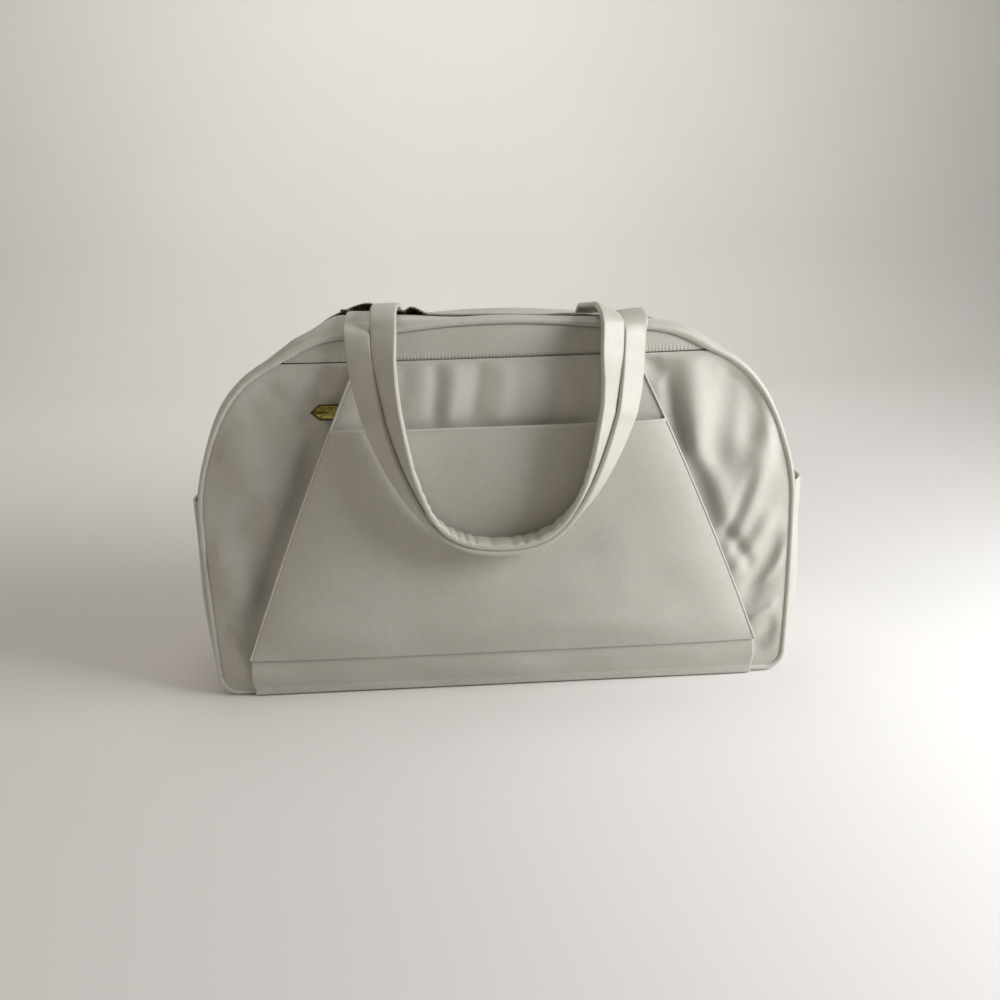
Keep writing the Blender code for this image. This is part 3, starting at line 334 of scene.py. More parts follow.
def metalMaterial(name, bright, dull, rough, scale=160):
    # cast metal: worn bright patches over a darker skin, with fine casting marks
    mat, tree, coords, shader = newMaterial(name)
    patch = noiseAt(tree, coords, scale, 5, 0.6)
    rim = tree.nodes.new("ShaderNodeAttribute")  # the raised rim ring is coloured a much darker brown than the face
    rim.attribute_name = "rim"
    skin = mixColors(tree, mapRange(tree, patch, 0.38, 0.62, 0, 1), dull, bright)
    feed(tree, shader.inputs["Base Color"], mixColors(tree, rim.outputs["Fac"], skin, darker(dull, 0.3)))
    feed(tree, shader.inputs["Roughness"], mapRange(tree, patch, 0.3, 0.7, rough + 0.12, rough))
    shader.inputs["Metallic"].default_value = 1.0
    addBump(tree, shader, noiseAt(tree, coords, 1800, 3, 0.6), 0.00006, 0.4)
    return mat


# light and dark tone of each finish
colors = {"cloth": ((0.60, 0.577, 0.522), (0.52, 0.497, 0.443)),
          "trim": ((0.64, 0.615, 0.555), (0.56, 0.535, 0.475)),
          "lining": ((0.20, 0.19, 0.19), (0.14, 0.13, 0.13)),
          "tape": ((0.19, 0.172, 0.155), (0.13, 0.115, 0.103)),
          "leather": ((0.595, 0.575, 0.51), (0.53, 0.51, 0.445)),
          "board": ((0.05, 0.05, 0.052), (0.035, 0.035, 0.037)),
          "darkMetal": ((0.16, 0.11, 0.07), (0.045, 0.033, 0.024)),
          "tooth": ((0.20, 0.14, 0.08), (0.06, 0.045, 0.03)),
          "brass": ((0.56, 0.47, 0.13), (0.30, 0.24, 0.06)),
          "floor": ((0.84, 0.825, 0.81), (0.80, 0.78, 0.76))}

cloth = clothMaterial("offWhiteCloth", *colors["cloth"], 0.60, 0.0009)
trimCloth = clothMaterial("pipingCloth", *colors["trim"], 0.52, 0.0008, sheen=0.3)
liningCloth = clothMaterial("greyLining", *colors["lining"], 0.7, 0.0006)
tapeCloth = clothMaterial("zipTape", *colors["tape"], 0.75, 0.0010, weave=0.9, sheen=0.1)
leather = leatherMaterial("strapLeather", *colors["leather"])
boardPlastic = leatherMaterial("stiffener", *colors["board"])
darkMetal = metalMaterial("blackenedBrass", *colors["darkMetal"], 0.30)
toothMetal = metalMaterial("zipTeeth", *colors["tooth"], 0.34, 400)
agedBrass = metalMaterial("agedBrass", *colors["brass"], 0.34)
print("materials made")

# Dome outline: tangent arcs for corner, side, shoulder and top, mirrored, as a fine table by length

dome = {"halfWidth": 0.2342, "seamHeight": 0.292, "widestHeight": 0.145, "topRadius": 0.60,
        "sideRadius": 2.0, "cornerRadius": 0.016, "lift": 0.002, "baseDepth": 0.085, "topDepth": 0.0655}


def domeTable():
    w, h, zw, rt = dome["halfWidth"], dome["seamHeight"], dome["widestHeight"], dome["topRadius"]
    rs, rc, lift = dome["sideRadius"], dome["cornerRadius"], dome["lift"]
    topCentre = h - rt
    # the shoulder's centre is level with the widest place, and as far from the top's as their radii differ
    shoulder = (rt ** 2 - w ** 2 - (zw - topCentre) ** 2) / (2 * (rt - w))
    end = acos((w - shoulder) / (rt - shoulder))
    start = -asin((zw - lift - rc) / (rs - rc))
    cornerX = w - rs + (rs - rc) * cos(start)
    arcs = [((cornerX, lift + rc), rc, -pi / 2, start), ((w - rs, zw), rs, start, 0),
            ((w - shoulder, zw), shoulder, 0, end), ((0, topCentre), rt, end, pi / 2)]
    places, normals = [], []
    for centre, radius, first, last in arcs:
        angle = np.linspace(first, last, 200)
        normal = np.stack([np.cos(angle), np.sin(angle)], axis=1)
        places.append(np.array(centre) + radius * normal)
        normals.append(normal)
    places, normals = np.concatenate(places), np.concatenate(normals)
    keep = np.concatenate([[True], np.linalg.norm(np.diff(places, axis=0), axis=1) > 1e-7])
    return places[keep], normals[keep], cornerX


halfPlaces, halfNormals, cornerX = domeTable()
flip = np.array([-1, 1])
places = np.concatenate([halfPlaces * flip, halfPlaces[-2::-1]])
normals = np.concatenate([halfNormals * flip, halfNormals[-2::-1]])
lengths = walked(places)
halfLengths = lengths[:len(halfPlaces)]
total = lengths[-1]
upper = halfPlaces[:, 1] >= dome["widestHeight"] - 1e-9


def domeAt(length):
    return along(length, lengths, places), unit(along(length, lengths, normals))


def topZ(x):
    # height of the outline above a place
    return np.interp(np.abs(x), halfPlaces[upper][::-1, 0], halfPlaces[upper][::-1, 1])


def lengthAtHeight(z):
    return np.interp(z, halfPlaces[:, 1], halfLengths)


def lengthAtX(x):
    mask = places[:, 1] >= dome["widestHeight"]
    return np.interp(x, places[mask, 0], lengths[mask])


def insetWidth(z, inset):
    # half width at a height, of the outline moved inwards
    line = halfPlaces - inset * halfNormals
    return np.interp(z, line[:, 1], line[:, 0])


def halfDepth(z):
    # falls evenly from the base to the seam's top
    return dome["baseDepth"] + (dome["topDepth"] - dome["baseDepth"]) * np.asarray(z) / dome["seamHeight"]


def domeRows(inset, height, count):
    # width and height of rows that follow the inset outline from the base up to a height
    line = halfPlaces - inset * halfNormals
    row = np.linspace(0, np.interp(height, line[:, 1], halfLengths), count)
    return np.interp(row, halfLengths, line[:, 0]), np.interp(row, halfLengths, line[:, 1])


def awayFromDome(length):
    # the outline's own direction outwards, for a grid whose rows stand at these lengths
    normal = domeAt(length)[1]
    return np.stack([normal[:, 0], 0 * length, normal[:, 1]], axis=-1)[:, None]


# Gusset: rounded at the seams, level across the middle, lifted where the zip runs straight

gusset = {"rimRise": 0.0045, "rimShare": 0.30, "sideBulge": 0.003, "bulgeShare": 0.75, "fadeHeight": 0.04,
          "slack": 0.0007, "wall": 0.0022, "stripWall": 0.0018, "zipLeft": 0.2921, "zipRight": 0.2841,
          "sliderRest": 0.106, "sliderBack": 0.006, "straight": 0.1175, "ramp": 0.0425,
          "zipEndHeight": 0.19447, "openHalf": 0.0045, "stripEdge": 0.0123, "notch": 0.0026,
          "seamGap": 0.0002, "hemPuff": 0.0005, "hemWidth": 0.0022,
          "stitchSink": 0.0004, "stitchPlace": 0.004, "stitchWidth": 0.0010,
          # arches of the opening's rear edge: height, start, rise, end, fall; a strap presses the middle one
          "arches": [(0.0085, -0.130, 0.030, -0.088, 0.010), (0.0022, -0.100, 0.010, -0.066, 0.008),
                     (0.0052, -0.073, 0.008, -0.050, 0.014)],
          "archDepth": 0.028, "archFade": 0.020}
zipSlope = (gusset["zipRight"] - gusset["zipLeft"]) / (2 * gusset["sliderRest"])
zipMid = (gusset["zipRight"] + gusset["zipLeft"]) / 2
zipFirst = float(lengthAtHeight(gusset["zipEndHeight"]))
zipLast = total - zipFirst
openEnd = float(lengthAtX(-gusset["sliderRest"] - gusset["sliderBack"]))


def zipLift(x):
    # from the outline up to the zip's straight line, eased out beyond the straight length
    line = zipMid + zipSlope * x - topZ(x)
    return line * (1 - smooth((np.abs(x) - gusset["straight"]) / gusset["ramp"]))


def openHalf(length):
    # half the gap between the rows of teeth: half a sine wave from the left end to the slider
    return gusset["openHalf"] * np.sin(pi * np.clip((length - zipFirst) / (openEnd - zipFirst), 0, 1))


def gussetPoint(length, y, offset):
    # outline moved out along its normal by a rim curve and a middle bulge that blend across the depth
    length, y = np.broadcast_arrays(np.asarray(length, float), np.asarray(y, float))
    place, normal = domeAt(length)
    x, z = place[..., 0], place[..., 1]
    inward = 1 - np.abs(y) / halfDepth(z)
    rim = quarterSine(inward / gusset["rimShare"])
    middle = smooth(inward / gusset["bulgeShare"])
    above = z > dome["widestHeight"]
    upShare = (z - dome["widestHeight"]) / (dome["seamHeight"] - dome["widestHeight"])
    bulge = gusset["sideBulge"] * np.where(above, 1 - smooth(upShare), 1)
    fade = smooth((z - dome["lift"]) / gusset["fadeHeight"])
    slack = gusset["slack"] * np.sin(length * 61 + 5 * y) * np.sin(length * 23 + 1.7)
    slack = slack * np.clip(inward / gusset["rimShare"], 0, 1)
    rise = fade * (gusset["rimRise"] * rim * (1 - middle) + bulge * middle + slack) + offset
    lift = np.where(above, zipLift(x), 0) * middle
    return np.stack([x + normal[..., 0] * rise, y, z + normal[..., 1] * rise + lift], axis=-1)


def zipHump(x, y):
    # the rear edge of the opening stands up in arches, each an eased rise times an eased fall
    arches = [height * smooth((x - start) / rise) * smooth((end - x) / fall)
              for height, start, rise, end, fall in gusset["arches"]]
    return np.max(arches, axis=0) * smooth((gusset["archDepth"] - y) / gusset["archFade"]) * (y > 0)


def stripRows(length, edge, count):
    # rows from the zip's edge out to a distance from the seam
    far = halfDepth(domeAt(length)[0][:, 1]) - edge
    near = gusset["stripEdge"] + openHalf(length)
    return near, near[:, None] + (far - near)[:, None] * np.linspace(0, 1, count)[None, :]


def makeGusset():
    gap = gusset["seamGap"]
    for name, node, side, first, last in (
            ("leftEndCloth", "left_side_gusset", -1, gap, zipFirst - gap),
            ("rightEndCloth", "right_side_gusset", 1, zipLast + gap, total - gap)):
        length = np.linspace(first, last, 120)
        reach = halfDepth(domeAt(length)[0][:, 1]) - gusset["notch"]
        y = reach[:, None] * np.linspace(-1, 1, 90)[None, :]
        obj = sheetObject(name, gussetPoint(length[:, None], y, 0), gusset["wall"], cloth, (side, 0, 0))
        finishPiece(obj, "bag", "bag_cloth", node)
    length = np.linspace(zipFirst + gap, zipLast - gap, 420)
    near, rows = stripRows(length, gusset["notch"], 46)
    for name, node, side in (("frontZipCloth", "front_zip_strip", -1), ("rearZipCloth", "rear_zip_strip", 1)):
        grid = gussetPoint(length[:, None], side * rows, 0)
        # turned edge and its stitch line along the zip: two narrow bells
        beyond = rows - near[:, None]
        hem = gusset["hemPuff"] * bell(beyond, 0, gusset["hemWidth"])
        stitch = gusset["stitchSink"] * bell(beyond, gusset["stitchPlace"], gusset["stitchWidth"])
        grid[..., 2] += hem - stitch + zipHump(grid[..., 0], grid[..., 1])
        obj = sheetObject(name, grid, gusset["stripWall"], cloth, awayFromDome(length))
        finishPiece(obj, "bag", "bag_cloth", node)
    print("gusset made")


# Front and back panels: crown, soft folds, and a sewn-in edge

panel = {"frontCrown": 0.008, "backCrown": 0.006, "wall": 0.0022, "notch": 0.0026, "bandHeight": 0.2645,
         "seamGap": 0.0003, "seamSink": 0.0012, "seamWidth": 0.0025, "bandSeamWidth": 0.0014,
         "edgeSink": 0.0016, "edgeWidth": 0.003, "holdEdge": 0.014, "holdSeam": 0.008, "crowd": 1.35,
         "ripple": 0.0009, "smallRipple": 0.0003, "bandHold": 0.006, "endInset": 0.0008,
         "bandRipple": 0.0006, "pucker": 0.00013, "puckerPitch": 0.0026, "puckerPlace": 0.0016,
         "puckerWidth": 0.0016, "foldIn": 0.0052, "foldOut": 0.0100}

# window of the front pocket's zip, and the cloth that lies flat round it
window = {"height": 0.2285, "half": 0.119, "tallHalf": 0.0070, "liningMore": (0.002, 0.0015),
          "flatHalf": 0.123, "flatTall": 0.012, "ease": 0.014}

# each fold runs from one place to another across the front: x, z, x, z, half width, height outwards
rightFolds = [(0.146, 0.258, 0.152, 0.180, 0.010, 0.0066), (0.176, 0.252, 0.170, 0.165, 0.010, -0.0044),
              (0.166, 0.178, 0.180, 0.128, 0.009, 0.0030), (0.215, 0.205, 0.178, 0.102, 0.010, 0.0052),
              (0.200, 0.168, 0.176, 0.112, 0.006, -0.0042), (0.214, 0.132, 0.184, 0.088, 0.007, 0.0044),
              (0.222, 0.112, 0.194, 0.056, 0.008, -0.0050), (0.229, 0.104, 0.208, 0.076, 0.005, 0.0034),
              (0.222, 0.060, 0.200, 0.046, 0.004, 0.0024), (0.222, 0.042, 0.204, 0.018, 0.007, -0.0038),
              (0.114, 0.266, 0.166, 0.134, 0.008, -0.0050), (0.190, 0.244, 0.196, 0.192, 0.010, -0.0042),
              (0.180, 0.122, 0.200, 0.090, 0.006, -0.0036)]
leftFolds = [(-0.206, 0.208, -0.186, 0.168, 0.020, 0.0052), (-0.222, 0.128, -0.204, 0.078, 0.016, 0.0052),
             (-0.190, 0.160, -0.207, 0.136, 0.011, -0.0040), (-0.164, 0.146, -0.200, 0.056, 0.008, -0.0045),
             (-0.128, 0.262, -0.150, 0.222, 0.010, -0.0034), (-0.222, 0.050, -0.205, 0.018, 0.009, 0.0032),
             (-0.186, 0.226, -0.160, 0.244, 0.012, -0.0022), (-0.141, 0.206, -0.166, 0.136, 0.008, -0.0045),
             (-0.215, 0.062, -0.226, 0.042, 0.006, -0.0020)]
backFolds = [(-0.15, 0.22, -0.09, 0.10, 0.018, -0.0028), (0.12, 0.23, 0.18, 0.11, 0.016, -0.0030),
             (-0.02, 0.20, 0.06, 0.07, 0.022, 0.0030), (0.06, 0.14, 0.20, 0.05, 0.013, 0.0026),
             (-0.20, 0.14, -0.13, 0.05, 0.014, 0.0028), (-0.10, 0.06, 0.02, 0.03, 0.010, -0.0020)]


def foldHeight(x, z, folds):
    # each fold is a bell across its slightly bent line, fading at both ends; high sums are held back softly
    out = np.zeros_like(x)
    for x0, z0, x1, z1, width, height in folds:
        dx, dz = x1 - x0, z1 - z0
        size = dx * dx + dz * dz
        t = ((x - x0) * dx + (z - z0) * dz) / size
        across = ((x - x0) * dz - (z - z0) * dx) / np.sqrt(size)
        bend = 0.15 * width * np.sin(3 * t)
        fade = smooth((t + 0.25) / 0.5) * smooth((1.25 - t) / 0.5)
        out += height * bell(across, -bend, width) * fade
    limit = np.where(out < 0, panel["foldIn"], panel["foldOut"])
    return limit * np.tanh(out / limit)


def panelY(x, z, side):
    # the seam's depth plus a crown that is flat in the middle and falls with fourth powers to all edges
    crown = panel["frontCrown"] if side < 0 else panel["backCrown"]
    across = 1 - np.clip(np.abs(x) / insetWidth(z, 0), 0, 1) ** 4
    share = np.clip((z - dome["lift"]) / (topZ(x) - dome["lift"]), 0, 1)
    return side * (halfDepth(z) + crown * across * (1 - np.abs(2 * share - 1) ** 4))


def edgeDistance(x, z):
    # rough distance from the dome's seam
    return np.minimum(insetWidth(z, 0) - np.abs(x), topZ(np.minimum(np.abs(x), dome["halfWidth"])) - z)


def windowSkip(more):
    # tells which quads lie in the zip's window, widened by more
    half, tallHalf = window["half"] + more[0], window["tallHalf"] + more[1]
    return lambda p: (np.abs(p[:, 0]) < half) & (np.abs(p[:, 2] - window["height"]) < tallHalf)


def makePanels():
    band = panel["bandHeight"]
    w, z = domeRows(panel["notch"], band - panel["seamGap"], 230)
    share = np.sin(np.linspace(-1, 1, 300) * panel["crowd"]) / sin(panel["crowd"])  # closer near the seams
    x = share[None, :] * w[:, None]
    zz = np.repeat(z[:, None], 300, axis=1)
    edge = np.clip(edgeDistance(x, zz), 0, 1)
    hold = smooth(edge / panel["holdEdge"]) * smooth((band - zz) / panel["holdSeam"])
    ripple = panel["ripple"] * np.sin(31 * x + 47 * zz + 1.3) * np.sin(23 * zz - 37 * x)
    ripple = ripple + panel["smallRipple"] * np.sin(120 * x + 60 * zz) * np.sin(90 * zz + 2)
    sewn = panel["edgeSink"] * np.exp(-edge / panel["edgeWidth"])
    sewn += panel["seamSink"] * np.exp(-(band - zz) / panel["seamWidth"])
    beyond = np.maximum(np.abs(x) - window["flatHalf"], np.abs(zz - window["height"]) - window["flatTall"])
    for side, name, node, folds, free, skip in (
            (-1, "frontCloth", "front_panel", rightFolds + leftFolds, smooth(beyond / window["ease"]),
             windowSkip((0, 0))),
            (1, "backCloth", "back_panel", backFolds, 1, None)):
        out = (foldHeight(x, zz, folds) + ripple) * hold * free - sewn
        grid = np.stack([x, panelY(x, zz, side) + side * out, zz], axis=-1)
        obj = sheetObject(name, grid, panel["wall"], cloth, (0, side, 0), skip)
        finishPiece(obj, "bag", "bag_cloth", node)

    low = band + panel["seamGap"]
    line = (halfPlaces - panel["notch"] * halfNormals)[upper][::-1]
    xEnd = float(insetWidth(low + panel["endInset"], panel["notch"]))
    x = np.linspace(-xEnd, xEnd, 1000)
    top = np.interp(np.abs(x), line[:, 0], line[:, 1])
    v = np.linspace(0, 1, 30) ** 1.6
    z = low + v[:, None] * (top - low)[None, :]
    xx = np.repeat(x[None, :], 30, axis=0)
    above = z - low
    edge = np.clip(top[None, :] - z, 0, 1)
    out = -panel["seamSink"] * np.exp(-above / panel["bandSeamWidth"])
    out -= panel["edgeSink"] * np.exp(-edge / panel["edgeWidth"])
    # puckers of the seam: a wave along it in a narrow bell above it
    pucker = bell(above, panel["puckerPlace"], panel["puckerWidth"])
    pucker = np.sin(2 * pi * xx / panel["puckerPitch"]) * pucker
    hold = smooth(above / panel["bandHold"]) * smooth(edge / panel["bandHold"])
    out += panel["pucker"] * pucker + panel["bandRipple"] * np.sin(40 * xx + 1) * hold
    for side, name, node in ((-1, "frontBandCloth", "front_band"), (1, "backBandCloth", "back_band")):
        grid = np.stack([xx, panelY(xx, z, side) + side * out, z], axis=-1)
        finishPiece(sheetObject(name, grid, panel["wall"], cloth, (0, side, 0)), "bag", "bag_cloth", node)
    print("panels made")


# Piping round the front and rear seams

piping = {"radius": 0.0021, "inset": 0.0006, "endReach": 0.016, "around": 0.013, "uneven": 0.035}


def makePiping():
    length = np.linspace(-piping["endReach"], total + piping["endReach"], 740)
    place, normal = domeAt(np.clip(length, 0, total))
    place[:, 0] += np.clip(-length, 0, 1) - np.clip(length - total, 0, 1)  # its ends tuck in along the base
    centre = place - piping["inset"] * normal
    radius = piping["radius"] * (1 + piping["uneven"] * np.sin(length * 520) * np.sin(length * 97))
    wide = radius[:, None] * np.stack([normal[:, 0], 0 * length, normal[:, 1]], axis=1)
    deep = radius[:, None] * np.array([0, 1, 0])
    for name, node, side in (("frontPipingCord", "front_piping", -1), ("rearPipingCord", "rear_piping", 1)):
        y = side * (halfDepth(place[:, 1]) - piping["inset"])
        rings = roundRings(np.stack([centre[:, 0], y, centre[:, 1]], axis=1), 14, wide, deep)
        finishPiece(tubeObject(name, rings, trimCloth, piping["around"]), "bag", "piping_cloth", node)
    print("piping made")


# Base, stiffener and linings

inside = {"baseGap": 0.0003, "baseHalf": 0.085, "baseWall": 0.0035, "baseEdge": 0.0009, "baseRound": 0.0012,
          "liningWall": 0.0005, "liningInset": 0.0037, "liningTop": 0.2643, "liningGap": 0.0062,
          "endReach": 0.006, "endInset": 0.0068, "endSink": 0.0040,
          "floorHalf": (0.189, 0.0805), "floorHeight": 0.0086, "floorWave": 0.0004,
          "pocketHalf": 0.11, "pocketFoot": 0.085, "pocketTop": 0.246, "pocketGap": 0.0074,
          "pocketHollow": 0.0066}


def addLining(name, node, grid, facing, skip=None):
    obj = sheetObject(name, grid, inside["liningWall"], liningCloth, facing, skip)
    return finishPiece(obj, "bag", "lining_cloth", node)


def makeInside():
    reach = cornerX - inside["baseGap"]
    xx, yy = np.meshgrid(np.linspace(-reach, reach, 120), np.linspace(-1, 1, 60) * inside["baseHalf"])
    edge = np.minimum(inside["baseHalf"] - np.abs(yy), 0.03)
    grid = np.stack([xx, yy, inside["baseEdge"] * np.exp(-edge / inside["baseRound"])], axis=-1)
    obj = sheetObject("baseCloth", grid, inside["baseWall"], cloth, (0, 0, -1))
    finishPiece(obj, "bag", "bag_cloth", "base_panel")
    bpy.data.objects["base_board"].material_slots[0].material = boardPlastic

    w, z = domeRows(inside["liningInset"], inside["liningTop"], 60)
    xx = np.linspace(-1, 1, 80)[None, :] * w[:, None]
    zz = np.repeat(z[:, None], 80, axis=1)
    for side, name, node, skip in ((-1, "frontLining", "lining_front", windowSkip(window["liningMore"])),
                                   (1, "backLining", "lining_back", None)):
        grid = np.stack([xx, panelY(xx, zz, side) - side * inside["liningGap"], zz], axis=-1)
        addLining(name, node, grid, (0, -side, 0), skip)
    for name, node, side, first, last in (
            ("leftLining", "lining_end_left", -1, inside["endReach"], zipFirst),
            ("rightLining", "lining_end_right", 1, zipLast, total - inside["endReach"])):
        length = np.linspace(first, last, 50)
        far = halfDepth(domeAt(length)[0][:, 1]) - inside["endInset"]
        rows = far[:, None] * np.linspace(-1, 1, 40)[None, :]
        grid = gussetPoint(length[:, None], rows, -inside["endSink"])
        addLining(name, node, grid, (-side, 0, 0))
    length = np.linspace(zipFirst, zipLast, 160)
    rows = stripRows(length, inside["endInset"], 16)[1]
    for name, node, side in (("topFrontLining", "lining_top_front", -1),
                             ("topRearLining", "lining_top_rear", 1)):
        grid = gussetPoint(length[:, None], side * rows, -inside["endSink"])
        addLining(name, node, grid, -awayFromDome(length))
    wide, deep = inside["floorHalf"]
    xx, yy = np.meshgrid(np.linspace(-wide, wide, 60), np.linspace(-deep, deep, 30))
    z = inside["floorHeight"] + inside["floorWave"] * np.sin(40 * xx) * np.sin(50 * yy)
    addLining("baseLining", "lining_base", np.stack([xx, yy, z], axis=-1), (0, 0, 1))

    # pocket bag: hollow in the middle, with eighth powers falling to its sewn edges
    half, foot, top = inside["pocketHalf"], inside["pocketFoot"], inside["pocketTop"]
    xx, zz = np.meshgrid(np.linspace(-half, half, 60), np.linspace(foot, top, 50))
    tallShare = (zz - (foot + top) / 2) / ((top - foot) / 2)
    hollow = (1 - np.abs(xx / half) ** 8) * (1 - np.abs(tallShare) ** 8)
    y = panelY(xx, zz, -1) + inside["pocketGap"] + inside["pocketHollow"] * hollow
    bag = addLining("frontPocketCloth", "front_pocket_bag", np.stack([xx, y, zz], axis=-1), (0, 1, 0))
    print("base and linings made")


# Main zip: tapes, teeth and cloth end tabs

chain = {"half": 0.0032, "overlap": 0.0004, "tape": 0.0087, "tapeWall": 0.0008, "tapeSink": 0.0007,
         "pitch": 0.0029, "toothWidth": 0.0015, "toothThick": 0.0021, "toothSink": 0.0011,
         "look": 0.0005, "archPlace": 0.004, "tab": 0.012, "tabHalf": 0.0122, "tabStand": 0.0004,
         # distance from the middle and size of each ring of a tooth, as a share of its section
         "toothRings": [(0.0003, 0.55), (0.0007, 0.9), (0.0026, 0.8), (0.0031, 1.0)]}


def toothTemplate():
    # a tooth is a chamfered block along x, its head towards the middle on y
    w, t = chain["toothWidth"] / 2, chain["toothThick"] / 2
    ring = [(-w, -t * 0.6), (-w, t * 0.6), (-w * 0.6, t), (w * 0.6, t),
            (w, t * 0.6), (w, -t * 0.6), (w * 0.6, -t), (-w * 0.6, -t)]
    points = np.array([(x * size, y, z * size) for y, size in chain["toothRings"] for x, z in ring])
    sides = len(ring)
    faces = gridQuads(len(chain["toothRings"]), sides, wrap=True).tolist()
    return points, faces + [list(range(sides))[::-1], list(range(3 * sides, 4 * sides))]


def makeMainZip():
    first, last = zipFirst + gusset["stripEdge"], zipLast - gusset["stripEdge"]
    template, faces = toothTemplate()
    for name, side, phase in (("front", -1, 0.25), ("rear", 1, 0.75)):
        length = np.linspace(first, last, 420)
        near = chain["half"] - chain["overlap"] + openHalf(length)
        y = side * (near[:, None] + chain["tape"] * np.linspace(0, 1, 12)[None, :])
        grid = gussetPoint(length[:, None], y, -chain["tapeSink"])
        grid[..., 2] += zipHump(grid[..., 0], grid[..., 1])
        obj = sheetObject(name + "TapeCloth", grid, chain["tapeWall"], tapeCloth, awayFromDome(length))
        finishPiece(obj, "bag", "zip_tape", name + "_zip_tape")
        # teeth of both rows stand half a pitch apart and look along the chain
        middle = np.arange(first + phase * chain["pitch"], last - chain["toothWidth"], chain["pitch"])
        centre, ahead = (gussetPoint(at, 0 * at, -chain["toothSink"])
                         for at in (middle, middle + chain["look"]))
        for place in (centre, ahead):
            place[:, 2] += zipHump(place[:, 0], side * chain["archPlace"])
        forward = unit(ahead - centre)
        across = np.zeros_like(forward)
        across[:, 1] = side
        upward = np.cross(forward, across) * side
        centre[:, 1] = side * openHalf(middle)
        frames = np.stack([side * forward, across, upward], axis=-1)
        obj = copiesObject(name + "TeethRow", template, faces, centre, frames, toothMetal)
        finishPiece(obj, "bag", "zip_teeth", name + "_zip_teeth")
    gap = gusset["seamGap"]
    for name, node, side, start, stop in (
            ("leftZipTab", "zip_end_tab_left", -1, zipFirst + gap, zipFirst + chain["tab"]),
            ("rightZipTab", "zip_end_tab_right", 1, zipLast - chain["tab"], zipLast - gap)):
        length = np.linspace(start, stop, 16)
        y = chain["tabHalf"] * np.linspace(-1, 1, 40)
        grid = gussetPoint(length[:, None], y[None, :], chain["tabStand"])
        finishPiece(sheetObject(name, grid, gusset["wall"], cloth, (side, 0, 0)), "bag", "bag_cloth", node)
    print("main zip made")


# Mat sleeve with its slip pocket, wrap and turned edges

sleeve = {"topHalf": 0.1055, "foldHalf": 0.2020, "foldHeight": 0.0335, "gap": 0.0110, "rise": 0.045,
          "foldGap": 0.0075, "wall": 0.0015, "hemHeight": 0.2168, "edgeBow": 0.0022, "between": 0.0003,
          "seamEase": 0.004, "pocketGap": 0.0066, "pocketWall": 0.0014, "footRise": 0.03,
          "sideEase": 0.08, "footEase": 0.01, "hemPuff": 0.0005, "hemWidth": 0.0012, "hemRadius": 0.0010,
          "edgeRadius": 0.0012, "length": 0.231, "stretch": 0.98,
          "wrapFoot": 0.0012, "wrapBow": 0.0012, "wrapWave": 0.0011, "smallWave": 0.0008,
          "pipingStand": 0.0026, "pipingTop": 0.012, "pipingEase": 0.005}
sleeveFolds = [(-0.046, 0.262, -0.050, 0.222, 0.006, -0.0019), (-0.031, 0.262, -0.038, 0.220, 0.007, 0.0021),
               (-0.013, 0.262, -0.021, 0.222, 0.006, -0.0018), (0.006, 0.262, -0.002, 0.218, 0.009, 0.0020),
               (0.036, 0.262, 0.045, 0.222, 0.010, -0.0020), (0.075, 0.262, 0.085, 0.225, 0.008, 0.0016),
               (-0.070, 0.262, -0.080, 0.225, 0.009, -0.0016)]
pocketFolds = [(-0.120, 0.170, 0.020, 0.120, 0.030, -0.0016), (-0.060, 0.100, 0.080, 0.080, 0.024, 0.0016),
               (0.060, 0.170, 0.110, 0.090, 0.022, 0.0014), (-0.150, 0.080, -0.060, 0.050, 0.016, -0.0012),
               (0.100, 0.110, 0.160, 0.050, 0.018, -0.0014), (-0.02, 0.20, 0.03, 0.15, 0.026, 0.0014),
               (0.02, 0.062, 0.12, 0.05, 0.010, 0.0010)]


def sleeveHalf(z):
    # straight taper from fold to band, bowed out by half a sine wave
    share = (panel["bandHeight"] - z) / (panel["bandHeight"] - sleeve["foldHeight"])
    bow = sleeve["edgeBow"] * np.sin(pi * np.clip(share, 0, 1))
    return sleeve["topHalf"] + (sleeve["foldHalf"] - sleeve["topHalf"]) * share + bow


def sleeveGap(z):
    # how far the sleeve stands off the panel: none at the band, most at mid height, less at the fold
    high = quarterSine((panel["bandHeight"] - z) / sleeve["rise"])
    low = smooth((z - sleeve["foldHeight"]) / (sleeve["hemHeight"] / 2 - sleeve["foldHeight"]))
    return (sleeve["foldGap"] + (sleeve["gap"] - sleeve["foldGap"]) * low) * high


def sleeveSmooth(x, z):
    # outer face of the sleeve cloth before its folds
    return panelY(x, z, -1) - sleeve["between"] - sleeveGap(z) - sleeve["wall"]


def sleeveFace(x, z):
    ease = smooth((panel["bandHeight"] - z) / sleeve["seamEase"])
    return sleeveSmooth(x, z) - foldHeight(x, z, sleeveFolds) * ease


def pocketFoot(z):
    return quarterSine((z - sleeve["foldHeight"]) / sleeve["footRise"])


def pocketFace(x, z):
    # the slip pocket stands off the sleeve, falling with an eighth power to its sides
    share = np.clip(np.abs(x) / sleeveHalf(z), 0, 1)
    fade = smooth((1 - share) / sleeve["sideEase"]) * smooth((z - sleeve["foldHeight"]) / sleeve["footEase"])
    wave = foldHeight(x, z, pocketFolds) * fade
    hem = sleeve["hemPuff"] * bell(z, sleeve["hemHeight"], sleeve["hemWidth"])
    stand = sleeve["pocketGap"] * (1 - share ** 8) * pocketFoot(z) + sleeve["pocketWall"]
    return sleeveSmooth(x, z) - sleeve["between"] - stand - wave - hem


